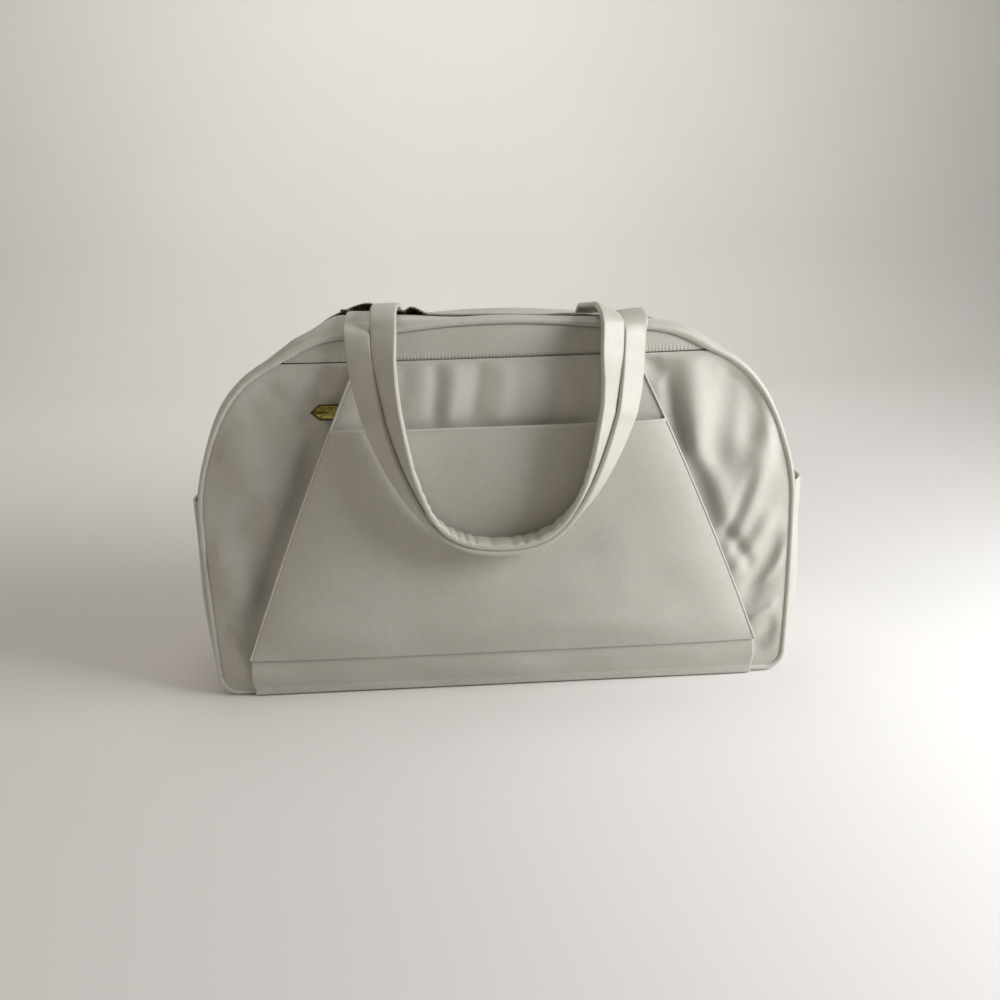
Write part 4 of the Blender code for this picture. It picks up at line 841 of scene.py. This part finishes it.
def addFrontSheet(name, node, face, low, high, rows, cols, less, wall):
    # a front cloth between two heights, as wide as the sleeve less a little
    z = np.linspace(low, high, rows)
    x = np.linspace(-1, 1, cols)[None, :] * (sleeveHalf(z) - less)[:, None]
    zz = np.repeat(z[:, None], cols, axis=1)
    obj = sheetObject(name, np.stack([x, face(x, zz), zz], axis=-1), wall, cloth, (0, -1, 0))
    return finishPiece(obj, "bag", "bag_cloth", node)


def makeSleeve():
    foldTop = sleeve["foldHeight"] + 0.0003
    cover = addFrontSheet("matSleeveCloth", "mat_sleeve", sleeveFace, foldTop, panel["bandHeight"] + 0.0004,
                          220, 260, 0.0008, sleeve["wall"])
    addFrontSheet("slipPocketCloth", "slip_pocket", pocketFace, foldTop, sleeve["hemHeight"],
                  240, 300, 0.0006, sleeve["pocketWall"])

    x = np.linspace(-1, 1, 240) * (sleeveHalf(sleeve["hemHeight"]) - 0.0006)
    z = np.full(240, sleeve["hemHeight"])
    hem = edgeCord("slipPocketHem", np.stack([x, pocketFace(x, z) + 0.0006, z], axis=1),
                   sleeve["hemRadius"], (1, 0.8))
    finishPiece(hem, "bag", "piping_cloth")

    # wrap: from the fold round to the base, where it still clears the piping
    share = np.linspace(0, 1, 40)
    swell = np.sin(pi * share)
    z = sleeve["wrapFoot"] + (sleeve["foldHeight"] - 0.0003 - sleeve["wrapFoot"]) * share
    half = sleeveHalf(np.full(40, sleeve["foldHeight"])) - 0.0006 + sleeve["wrapBow"] * swell
    x = np.linspace(-1, 1, 260)[None, :] * half[:, None]
    zz = np.repeat(z[:, None], 260, axis=1)
    overPiping = sleeve["pipingStand"] * smooth((sleeve["pipingTop"] - z) / sleeve["pipingEase"])
    out = np.maximum(sleeve["foldGap"] * np.sin(pi / 2 * share), overPiping)
    wave = sleeve["wrapWave"] * np.sin(28 * x + 1.2) * swell[:, None]
    wave = wave + sleeve["smallWave"] * np.sin(67 * x + 60 * zz) * np.sin(23 * x + 0.5)
    y = panelY(x, zz, -1) - sleeve["between"] - out[:, None] - sleeve["wall"] - wave * swell[:, None]
    wrap = sheetObject("sleeveWrapCloth", np.stack([x, y, zz], axis=-1), sleeve["wall"], cloth, (0, -1, 0))
    finishPiece(wrap, "bag", "bag_cloth", "sleeve_wrap")

    kernel = np.hanning(9) / np.hanning(9).sum()
    for name, node, side in (("leftSleeveEdge", "sleeve_binding_left", -1),
                             ("rightSleeveEdge", "sleeve_binding_right", 1)):
        z = np.linspace(sleeve["foldHeight"] + 0.001, panel["bandHeight"] - 0.0005, 200)
        x = side * sleeveHalf(z)
        y = np.where(z < sleeve["hemHeight"], pocketFace(x, z) + 0.0011, sleeveFace(x, z) + 0.0006)
        y = np.convolve(np.pad(y, 4, mode="edge"), kernel, mode="valid")
        edge = edgeCord(name, np.stack([x, y, z], axis=1), sleeve["edgeRadius"], (0.85, 1.5))
        finishPiece(edge, "bag", "piping_cloth", node)
    print("sleeve made")


# Slip pockets on the ends

endPocket = {"height": 0.157, "foot": 0.030, "gap": 0.0062, "leftGap": 0.0022, "rise": 0.016, "wall": 0.0014,
             "edgeInset": 0.0048, "between": 0.0003, "hemRadius": 0.0011, "hemSink": 0.0005, "footRise": 0.03,
             "sag": 0.12, "sagHeight": (0.10, 0.05), "wave": 0.12, "edgeEase": 0.02}


def makeEndPockets():
    z = np.linspace(endPocket["foot"], endPocket["height"], 90)
    reach = halfDepth(z) - endPocket["edgeInset"]
    y = reach[:, None] * np.sin(np.linspace(-1, 1, 90) * pi / 2)[None, :]
    edge = reach[:, None] - np.abs(y)
    foot = quarterSine((z - endPocket["foot"]) / endPocket["footRise"])[:, None]
    sag = 1 + endPocket["sag"] * np.sin(45 * y + 1) * grow(z[:, None], endPocket["sagHeight"])
    puff = quarterSine(edge / endPocket["rise"]) * foot * sag
    wave = np.sin(60 * z[:, None] + 38 * y) * np.clip(edge / endPocket["edgeEase"], 0, 1)
    wave = endPocket["wave"] * wave * foot
    for side, word, gap in ((-1, "left", endPocket["leftGap"]), (1, "right", endPocket["gap"])):
        length = lengthAtHeight(z) if side < 0 else total - lengthAtHeight(z)
        stand = endPocket["between"] + gap * (puff + wave) + endPocket["wall"]
        grid = gussetPoint(length[:, None], y, stand)
        obj = sheetObject(word + "PocketCloth", grid, endPocket["wall"], cloth, (side, 0, 0))
        finishPiece(obj, "bag", "bag_cloth", "side_pocket_" + word)
        line = grid[-1, 1:-1] - np.array([side * endPocket["hemSink"], 0, 0])
        hem = edgeCord(word + "PocketHem", line, endPocket["hemRadius"], (1, 0.9))
        finishPiece(hem, "bag", "piping_cloth")
    print("end pockets made")


# Front pocket zip behind the sleeve, with its cast pull

pocketZip = {"half": 0.118, "pullRest": 0.1135, "edge": 0.0123, "stand": 0.00125, "tapeNear": 0.0029,
             "tapeWidth": 0.0084, "tapeStand": 0.0004, "tapeWave": 0.0002}
pull = {"length": 0.0285, "width": 0.0122, "thick": 0.0017, "stand": 0.0038, "centreShare": 0.52,
        "head": 0.0012, "headShare": 0.62, "neck": 0.006, "point": 0.0068, "pointShare": 0.08,
        "rimRings": (6, 12),  # first and last ring of the raised rim, counted from the middle of the face
        # rings of the face, each this far in from the outline and this many thicknesses high
        "face": [(0.0000, 0.0), (0.0002, 0.40), (0.0006, 0.60), (0.0012, 0.56),
                 (0.0015, 0.20), (0.0018, 0.10), (0.0024, 0.22), (0.0032, 0.34)],
        # and those of the dome, as shares of the innermost ring, and of the back
        "dome": [(0.6, 0.42), (0.05, 0.44)], "back": [(0.0002, -0.40), (0.0007, -0.50)]}


def pocketFrame():
    low, high = (float(panelY(0, window["height"] + side * pocketZip["edge"], -1)) for side in (-1, 1))
    across = unit(np.array([0, high - low, 2 * pocketZip["edge"]]))
    ahead = np.array([1.0, 0, 0])
    origin = np.array([0, float(panelY(0, window["height"], -1)) + pocketZip["stand"], window["height"]])
    return origin, ahead, across, np.cross(ahead, across)


def makePocketZip():
    origin, ahead, across, up = pocketFrame()
    template, faces = toothTemplate()
    half = pocketZip["half"]
    for word, side, phase in (("upper", 1, 0.25), ("lower", -1, 0.75)):
        x = np.linspace(-half, half, 120)
        v = pocketZip["tapeNear"] + pocketZip["tapeWidth"] * np.linspace(0, 1, 10)
        stand = pocketZip["tapeStand"] + pocketZip["tapeWave"] * np.sin(900 * v)
        grid = origin + x[None, :, None] * ahead + (side * v[:, None] * across + stand[:, None] * up)[:, None]
        obj = sheetObject(word + "PocketTape", grid, chain["tapeWall"], tapeCloth, (0, -1, 0))
        finishPiece(obj, "bag", "zip_tape", "pocket_zip_tape_" + word)
        middle = np.arange(-half + phase * chain["pitch"], half - 0.001, chain["pitch"])
        teeth = origin + middle[:, None] * ahead
        frames = np.repeat(np.stack([ahead * side, across * side, up], axis=-1)[None], len(teeth), axis=0)
        obj = copiesObject(word + "PocketTeeth", template, faces, teeth, frames, toothMetal)
        finishPiece(obj, "bag", "zip_teeth", "pocket_zip_teeth_" + word)
    print("pocket zip made")


def pullRings(origin, ahead, across, up):
    # a cast tongue: a long six-sided plan with a raised rim, a groove and a shallow dome
    length, half, point = pull["length"], pull["width"] / 2, pull["point"] - pull["length"]
    upperSide = [(pull["head"], half * pull["headShare"]), (-pull["neck"], half), (point, half),
                 (-length, half * pull["pointShare"])]
    lowerSide = [(x, -y) for x, y in upperSide[::-1]]
    corners = np.array(lowerSide[-1:] + upperSide + lowerSide[:-1])
    ring = np.concatenate([corners, corners[:1]])
    walk = walked(ring)
    at = np.sort(np.concatenate([walk[:-1], np.linspace(0, walk[-1], 88, endpoint=False) + 0.00007]))
    outline = along(at, walk, ring)
    centre = np.array([-length * pull["centreShare"], 0])
    edge = np.roll(outline, -1, axis=0) - np.roll(outline, 1, axis=0)
    inward = unit(np.stack([-edge[:, 1], edge[:, 0]], axis=1))
    away = np.sum(inward * (centre - outline), axis=1, keepdims=True) < 0
    inward = np.where(away, -inward, inward)
    inner = outline + inward * pull["face"][-1][0]
    flats = [(outline + inward * step, height) for step, height in pull["face"]]
    flats += [(centre + (inner - centre) * share, height) for share, height in pull["dome"]]
    flats = flats[::-1] + [(outline + inward * step, height) for step, height in pull["back"]]
    flats.append((centre + (outline - centre) * pull["dome"][-1][0], pull["back"][-1][1]))
    return np.array([origin + flat[:, :1] * ahead + flat[:, 1:] * across + up * pull["thick"] * height
                     for flat, height in flats])


def makePulls():
    origin, ahead, across, up = pocketFrame()
    rings = pullRings(origin - ahead * pocketZip["pullRest"] + up * pull["stand"], ahead, across, up)
    obj = tubeObject("brassPull", rings, agedBrass)
    rim = np.zeros(len(obj.data.vertices))
    first, last = (rings.shape[1] * row for row in pull["rimRings"])
    rim[first:last] = 1
    obj.data.attributes.new("rim", "FLOAT", "POINT").data.foreach_set("value", rim)
    finishPiece(obj, "pocket_pull", "antique_brass", "pocket_zip_pull")
    for node, mat in (("pocket_zip_slider", agedBrass), ("main_zip_slider", darkMetal),
                      ("main_zip_pull", darkMetal)):
        bpy.data.objects[node].material_slots[0].material = mat
    print("pulls made")


# Handles: one continuous strap each, flat at the top and turned on edge at the bottom

handle = {"width": 0.0205, "thick": 0.0040, "clear": 0.0007, "half": 0.1035, "frontHinge": 0.2886,
          "between": 0.0003, "step": 0.0012, "around": 0.047,
          "capReach": 0.0014, "capShares": (0.35, 0.75, 0.95), "fullness": 0.05,
          "stitchSink": 0.10, "stitchPlace": 0.80, "stitchWidth": 0.035,
          # what lies between the straps' back and the panel, at the sleeve, its pocket and the band
          "sleeveStand": 0.0018, "pocketStand": 0.0016, "bandStand": 0.0045,
          "hemRise": 0.01, "hingeHalf": 0.0015,
          # front tabs: depth where they start and end, height over the gusset, and the right one's lift
          "tabStart": -0.0235, "tabEnd": -0.058, "tabStand": 0.0026,
          "rightLift": 0.003, "liftDepth": (0.030, 0.025), "turnDrop": 0.004, "loopDrop": 0.0045,
          # knots x, z of the crease between the straps, from the left root round to the right one
          "crease": [(-0.0940, 0.2886), (-0.0930, 0.2667), (-0.0892, 0.2470), (-0.0826, 0.2168),
                     (-0.0742, 0.1898), (-0.0580, 0.1550), (-0.0475, 0.1408), (-0.0290, 0.1296),
                     (-0.0050, 0.1262), (0.0190, 0.1272), (0.0370, 0.1345), (0.0515, 0.1490),
                     (0.0640, 0.1684), (0.0752, 0.1937), (0.0842, 0.2204), (0.0913, 0.2487),
                     (0.0952, 0.2734), (0.0960, 0.2886)],
          # shares of the drop, and there the turns in degrees and how far the inner strap has slid behind
          "shares": [0, 0.15, 0.28, 0.49, 0.73, 0.90, 1.0], "outerTurn": [8, 18, 30, 46, 63, 80, 91],
          "innerTurn": [15, 32, 44, 58, 72, 84, 91], "hidden": [0, 0, 0.0005, 0.0028, 0.0100, 0.0175, 0.0205],
          "rightTurn": 28, "rightMore": 2, "rightReach": (0.02, 0.05),
          # stations from behind the zip to the crest: shift inwards, depth, height, turn in degrees
          "leftRoute": [(0, 0.056, 0.2885, 0), (0, 0.034, 0.2935, 0), (0, 0.000, 0.2985, 0),
                        (0, -0.030, 0.3008, 0), (0, -0.058, 0.3008, 4)],
          "rightRoute": [(-0.004, 0.056, 0.2848, 0), (-0.004, 0.034, 0.2878, 0), (-0.005, 0.000, 0.2928, 6),
                         (-0.006, -0.025, 0.2935, 20), (-0.001, -0.056, 0.2960, 30)],
          # puckers of the inner face, from this turn on
          "ruffle": 0.0013, "ruffleUneven": 0.0004, "rufflePitch": 0.0105, "ruffleTurn": (1.02, 0.22)}


def frontHingeY():
    # the seam's depth, then the piping, a gap and the hinge's own half thickness
    seam = float(halfDepth(topZ(handle["half"]))) - piping["inset"]
    return -(seam + piping["radius"] + handle["between"] + handle["hingeHalf"])


def loopDepth(z, deep):
    # depth of the straps' back: on the slip pocket below its hem, and straight up to the hinge above it
    low = np.minimum(z, sleeve["hemHeight"])
    behind = 2 * sleeve["between"] + handle["sleeveStand"] + handle["pocketStand"]
    lying = panelY(0 * z, low, -1) - sleeveGap(low) - behind - sleeve["pocketGap"] * pocketFoot(low)
    atHem = float(panelY(0, sleeve["hemHeight"], -1)) - sleeve["gap"] - behind - sleeve["pocketGap"]
    atBand = float(panelY(0, panel["bandHeight"], -1)) - handle["bandStand"]
    hinge = frontHingeY() + handle["clear"] + handle["hingeHalf"]
    above = np.interp(z, [sleeve["hemHeight"] + handle["hemRise"], panel["bandHeight"], handle["frontHinge"]],
                      [atHem, atBand, hinge])
    return np.where(z > sleeve["hemHeight"], above, lying) - handle["clear"] - deep


def hangingLoop(inner):
    # the crease between the straps runs through the knots; each strap lies on its own side of it, turned
    # about its length by the table, and the inner one slides behind until they are stacked at the bottom
    crease = np.array(handle["crease"])
    walk = walked(crease)
    crease = soften(along(np.linspace(0, walk[-1], 400), walk, crease), 51)
    ahead = unit(np.gradient(crease, axis=0))
    out = np.stack([ahead[:, 1], -ahead[:, 0]], axis=1)
    drop = handle["frontHinge"] - crease[:, 1]
    share = np.clip(drop / drop.max(), 0, 1)
    right = grow(crease[:, 0], handle["rightReach"])
    outerTurn, innerTurn, hidden = (np.interp(share, handle["shares"], handle[key])
                                    for key in ("outerTurn", "innerTurn", "hidden"))
    outerTurn = radians(1) * np.maximum(outerTurn, handle["rightTurn"] * right)
    innerTurn = radians(1) * np.maximum(innerTurn, (handle["rightTurn"] + handle["rightMore"]) * right)
    half = handle["width"] / 2
    deep = np.sin(outerTurn) * half + np.abs(np.cos(outerTurn)) * handle["thick"] / 2
    centre = crease + out * np.cos(outerTurn)[:, None] * half
    y = loopDepth(centre[:, 1], deep)
    outward = np.stack([out[:, 0], 0 * y, out[:, 1]], axis=1)
    if not inner:
        return np.stack([centre[:, 0], y, centre[:, 1]], axis=1), outward, outerTurn
    meet = np.stack([crease[:, 0], y - np.sin(outerTurn) * half, crease[:, 1]], axis=1)
    back = np.array([0, 1.0, 0])
    wide = outward * np.cos(innerTurn)[:, None] + back * np.sin(innerTurn)[:, None]
    face = -outward * np.sin(outerTurn)[:, None] + back * np.cos(outerTurn)[:, None]
    # the step back follows a quarter circle while the strap slides behind
    apart = handle["thick"] + handle["between"]
    step = np.sqrt(np.maximum(apart ** 2 - np.maximum(apart - hidden, 0) ** 2, 0))
    line = meet + face * step[:, None] - wide * (half + handle["between"] - hidden)[:, None]
    return line, outward, innerTurn


def soften(line, span):
    # a weighted mean over an odd span of points, with the line carried on beyond both ends
    kernel = np.hanning(span + 2)[1:-1]
    kernel /= kernel.sum()
    pad = span // 2
    long = np.concatenate([2 * line[0] - line[pad:0:-1], line, 2 * line[-1] - line[-2:-pad - 2:-1]])
    return np.stack([np.convolve(long[:, k], kernel, mode="valid") for k in range(line.shape[1])], axis=1)


def strapObject(name, line, outward, turn, ruffle):
    # a flat strap with rolled edges carried along the line; ruffle is a share that wrinkles its inner face
    walk = walked(line)
    at = np.linspace(0, walk[-1], int(walk[-1] / handle["step"]))
    parts = (line, outward, turn[:, None], ruffle[:, None])
    line, outward, turn, ruffle = (along(at, walk, part) for part in parts)
    line, turn = soften(line, 9), soften(turn, 15)
    ahead = unit(np.gradient(line, axis=0))
    side = unit(outward - ahead * np.sum(outward * ahead, axis=1, keepdims=True))
    wide = side * np.cos(turn) + np.cross(ahead, side) * np.sin(turn)
    thick = np.cross(ahead, wide)
    # flat faces with round edges: the two ends of the section are half circles
    angle = np.linspace(0, 2 * pi, 40, endpoint=False) + 0.0001
    half, deepHalf = handle["width"] / 2, handle["thick"] / 2
    c, s = np.cos(angle), np.sin(angle)
    u = (half - deepHalf) * np.sign(c) * np.minimum(1, np.abs(c) * 1.25) + deepHalf * c * np.abs(c)
    v = deepHalf * np.sign(s) * np.minimum(1, np.abs(s) * 1.6)
    # a stitch line sinks in near both edges, and the middle is a little fuller
    reach = np.abs(u) / half
    stitch = handle["stitchSink"] * bell(reach, handle["stitchPlace"], handle["stitchWidth"])
    v = v * (1 - stitch + handle["fullness"] * np.cos(pi * reach / 2))
    # the inner face is pressed together where the strap bends: puckers of uneven pitch and height across it
    wave = at / handle["rufflePitch"] + 0.35 * np.sin(at * 61) + 0.25 * np.sin(at * 137)
    size = handle["ruffle"] + handle["ruffleUneven"] * np.sin(at * 83 + 1)
    pucker = ruffle * (size * (np.abs(np.sin(pi * wave)) ** 0.7 - 0.5))[:, None]
    tall = v[None, :] + pucker * smooth(v / deepHalf)[None, :]
    rings = line[:, None] + u[None, :, None] * wide[:, None] + tall[..., None] * thick[:, None]
    # rounded ends: smaller rings a little beyond the last ones
    heads, tails = [], []
    for share in handle["capShares"]:
        beyond = handle["capReach"] * (1 - share)
        heads.append(line[0] + (rings[0] - line[0]) * share - ahead[0] * beyond)
        tails.insert(0, line[-1] + (rings[-1] - line[-1]) * share + ahead[-1] * beyond)
    return tubeObject(name, np.concatenate([heads, rings, tails]), leather, handle["around"])


def gussetTop(x, y):
    # height of the gusset at a place, found by walking along the outline until x fits
    length = lengthAtX(x)
    for _ in range(4):
        length = length + (x - gussetPoint(length, y, 0)[..., 0])
    return gussetPoint(length, y, 0)[..., 2]


def frontRoots(line):
    # tab on the gusset, then over the seam and down to the hanging loop
    roots = []
    bend = np.linspace(0, pi / 2, 20)[1:-1]
    for side, start in ((-1, line[0]), (1, line[-1])):
        y = np.linspace(handle["tabStart"], handle["tabEnd"], 60)
        z = gussetTop(np.full(60, start[0]), y) + handle["tabStand"]
        if side > 0:
            z = z + handle["rightLift"] * grow(-y, handle["liftDepth"])
        low = start[2] - handle["turnDrop"]
        y = np.concatenate([y, y[-1] + (start[1] - y[-1]) * np.sin(bend)])
        z = np.concatenate([z, low + (z[-1] - low) * np.cos(bend)])
        roots.append(np.stack([np.full(len(y), start[0]), y, z], axis=1))
    return roots, [np.zeros(len(root)) for root in roots]


def rearRoots(line, turn):
    # tab behind the zip, over the zip and the crown, and down inside the front strap
    roots, rootTurns = [], []
    bend = np.linspace(pi / 2, 0, 30)[1:-1]
    for start, last, route in ((line[0], turn[0], handle["leftRoute"]),
                               (line[-1], turn[-1], handle["rightRoute"])):
        stations = np.array(route, float) + [start[0], 0, 0, 0]
        at = np.linspace(0, 1, 90)
        spread = along(at, np.linspace(0, 1, len(route)), stations)
        run = soften(spread[:, :3], 21)
        crest, lastTurn = run[-1], spread[-1, 3]
        drop = np.stack([crest[0] + (start[0] - crest[0]) * (1 - np.sin(bend)),
                         start[1] + (crest[1] - start[1]) * (1 - np.cos(bend)),
                         start[2] + (crest[2] - start[2]) * np.sin(bend)], axis=1)
        roots.append(np.concatenate([run, drop]))
        ease = lastTurn + (np.degrees(last) - lastTurn) * np.linspace(0, 1, len(drop))
        rootTurns.append(radians(1) * np.concatenate([spread[:, 3], ease]))
    return roots, rootTurns


def wholeStrap(roots, rootTurns, line, outward, turn):
    # left root, hanging loop and right root in one: the line, the way outwards and the turn
    left, right = (np.repeat([[side, 0, 0]], len(root), axis=0) for side, root in zip((-1.0, 1.0), roots))
    return (np.concatenate([roots[0], line, roots[1][::-1]]), np.concatenate([left, outward, right]),
            np.concatenate([rootTurns[0], turn, rootTurns[1][::-1]]))


def makeHandles():
    line, outward, turn = hangingLoop(inner=False)
    keep = line[:, 2] < handle["frontHinge"] - handle["loopDrop"]
    whole, outs, turns = wholeStrap(*frontRoots(line), line[keep], outward[keep], turn[keep])
    front = strapObject("frontStrap", whole, outs, turns, 0 * turns)
    settle(front)
    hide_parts("front_handle", "front_handle_tab_left", "front_handle_tab_right")
    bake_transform(front)

    line, outward, turn = hangingLoop(inner=True)
    whole, outs, turns = wholeStrap(*rearRoots(line, turn), line, outward, turn)
    rear = strapObject("rearStrap", whole, outs, turns, grow(turns, handle["ruffleTurn"]))
    settle(rear)
    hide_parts("rear_handle", "rear_handle_tab_left", "rear_handle_tab_right")
    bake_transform(rear)
    print("handles made")


# Stage, light and camera

stage = {"start": -3, "back": 1.2, "bend": 0.9, "wall": 3.0, "half": 4, "below": 0.0002}
# each light: place, target, two sizes, power, colour
lights = {"windowLight": ((0.98, -0.42, 0.58), (0.02, -0.06, 0.14), (0.6, 0.6), 14, (0.965, 0.985, 1.0)),
          "topLight": ((-0.3, 0.35, 1.9), (0, 0, 0.1), (1.4, 1.0), 7, (1.0, 0.99, 0.97)),
          "leftFill": ((-1.3, -0.7, 1.1), (-0.1, 0, 0.15), (0.9, 0.9), 3.4, (1.0, 0.91, 0.76)),
          "wallWash": ((0, 0.75, 1.3), (0, 2.1, 0.6), (2.0, 0.5), 12, (1.0, 0.98, 0.95))}
room = {"color": (1.0, 0.91, 0.80), "strength": 0.13}
# camera place in metres, angles in degrees, focal length in pixels of a 1000 pixel wide picture
view = {"place": (-0.0377, -0.8796, 0.3992), "yaw": -2.68, "pitch": 17.0, "roll": 1.48, "pixels": 1072.0}


def makeStage():
    # a floor that bends up into a wall: level, a quarter circle, then straight up
    mat, tree, coords, shader = newMaterial("paleFloor")
    light, dark = colors["floor"]
    feed(tree, shader.inputs["Base Color"], mixColors(tree, noiseAt(tree, coords, 3), dark, light))
    shader.inputs["Roughness"].default_value = 0.8
    t = np.linspace(0, 1, 60)
    turn = pi * (t - 0.5)
    y = np.where(t < 0.5, stage["start"] + 2 * (stage["back"] - stage["start"]) * t,
                 stage["back"] + stage["bend"] * np.sin(turn))
    z = np.where(t < 0.5, 0, stage["bend"] * (1 - np.cos(turn)) + stage["wall"] * smooth((t - 0.75) * 4))
    x = np.linspace(-stage["half"], stage["half"], 10)
    grid = np.stack(np.broadcast_arrays(x[None, :], y[:, None], z[:, None] - stage["below"]), axis=-1)
    meshObject("floor", grid, gridQuads(60, 10).tolist(), mat)


def placeObject(name, data, axes, place):
    # axes are the object's own x, y and z in the world
    matrix = np.eye(4)
    matrix[:3, :3], matrix[:3, 3] = np.stack(axes, axis=1), place
    obj = bpy.data.objects.new(name, data)
    bpy.context.scene.collection.objects.link(obj)
    obj.matrix_world = Matrix(matrix.tolist())
    return obj


def makeLights():
    for name, (place, target, size, power, color) in lights.items():
        data = bpy.data.lights.new(name, "AREA")
        data.shape = "RECTANGLE"
        data.size, data.size_y = size
        data.energy = power
        data.color = color
        z = unit(np.array(place) - np.array(target))
        x = unit(np.cross(np.array([0, 0, 1.0]), z))
        placeObject(name, data, (x, np.cross(z, x), z), place)
    world = bpy.data.worlds.new("room")
    bpy.context.scene.world = world
    world.use_nodes = True
    background = world.node_tree.nodes["Background"]
    background.inputs["Color"].default_value = (*room["color"], 1)
    background.inputs["Strength"].default_value = room["strength"]


def makeCamera():
    # looking along +y, then turned by yaw, tipped by pitch and tilted by roll
    yaw, pitch, roll = (radians(view[k]) for k in ("yaw", "pitch", "roll"))
    ahead = np.array([[1, 0, 0], [0, 0, -1], [0, 1, 0]], float)
    turn = np.array([[cos(yaw), sin(yaw), 0], [-sin(yaw), cos(yaw), 0], [0, 0, 1]])
    tip = np.array([[1, 0, 0], [0, cos(pitch), -sin(pitch)], [0, sin(pitch), cos(pitch)]])
    tilt = np.array([[cos(roll), sin(roll), 0], [-sin(roll), cos(roll), 0], [0, 0, 1]])
    right, down, forward = tilt @ tip @ ahead @ turn
    data = bpy.data.cameras.new("camera")
    data.sensor_width = 36
    data.lens = view["pixels"] * data.sensor_width / 1000
    data.clip_start = 0.01
    bpy.context.scene.camera = placeObject("camera", data, (right, -down, -forward), view["place"])
    bpy.context.scene.view_settings.view_transform = "Standard"


makeCamera()
makeStage()
makeLights()
makeGusset()
makePanels()
makePiping()
makeInside()
makeMainZip()
makeSleeve()
makeEndPockets()
makePocketZip()
makePulls()
makeHandles()
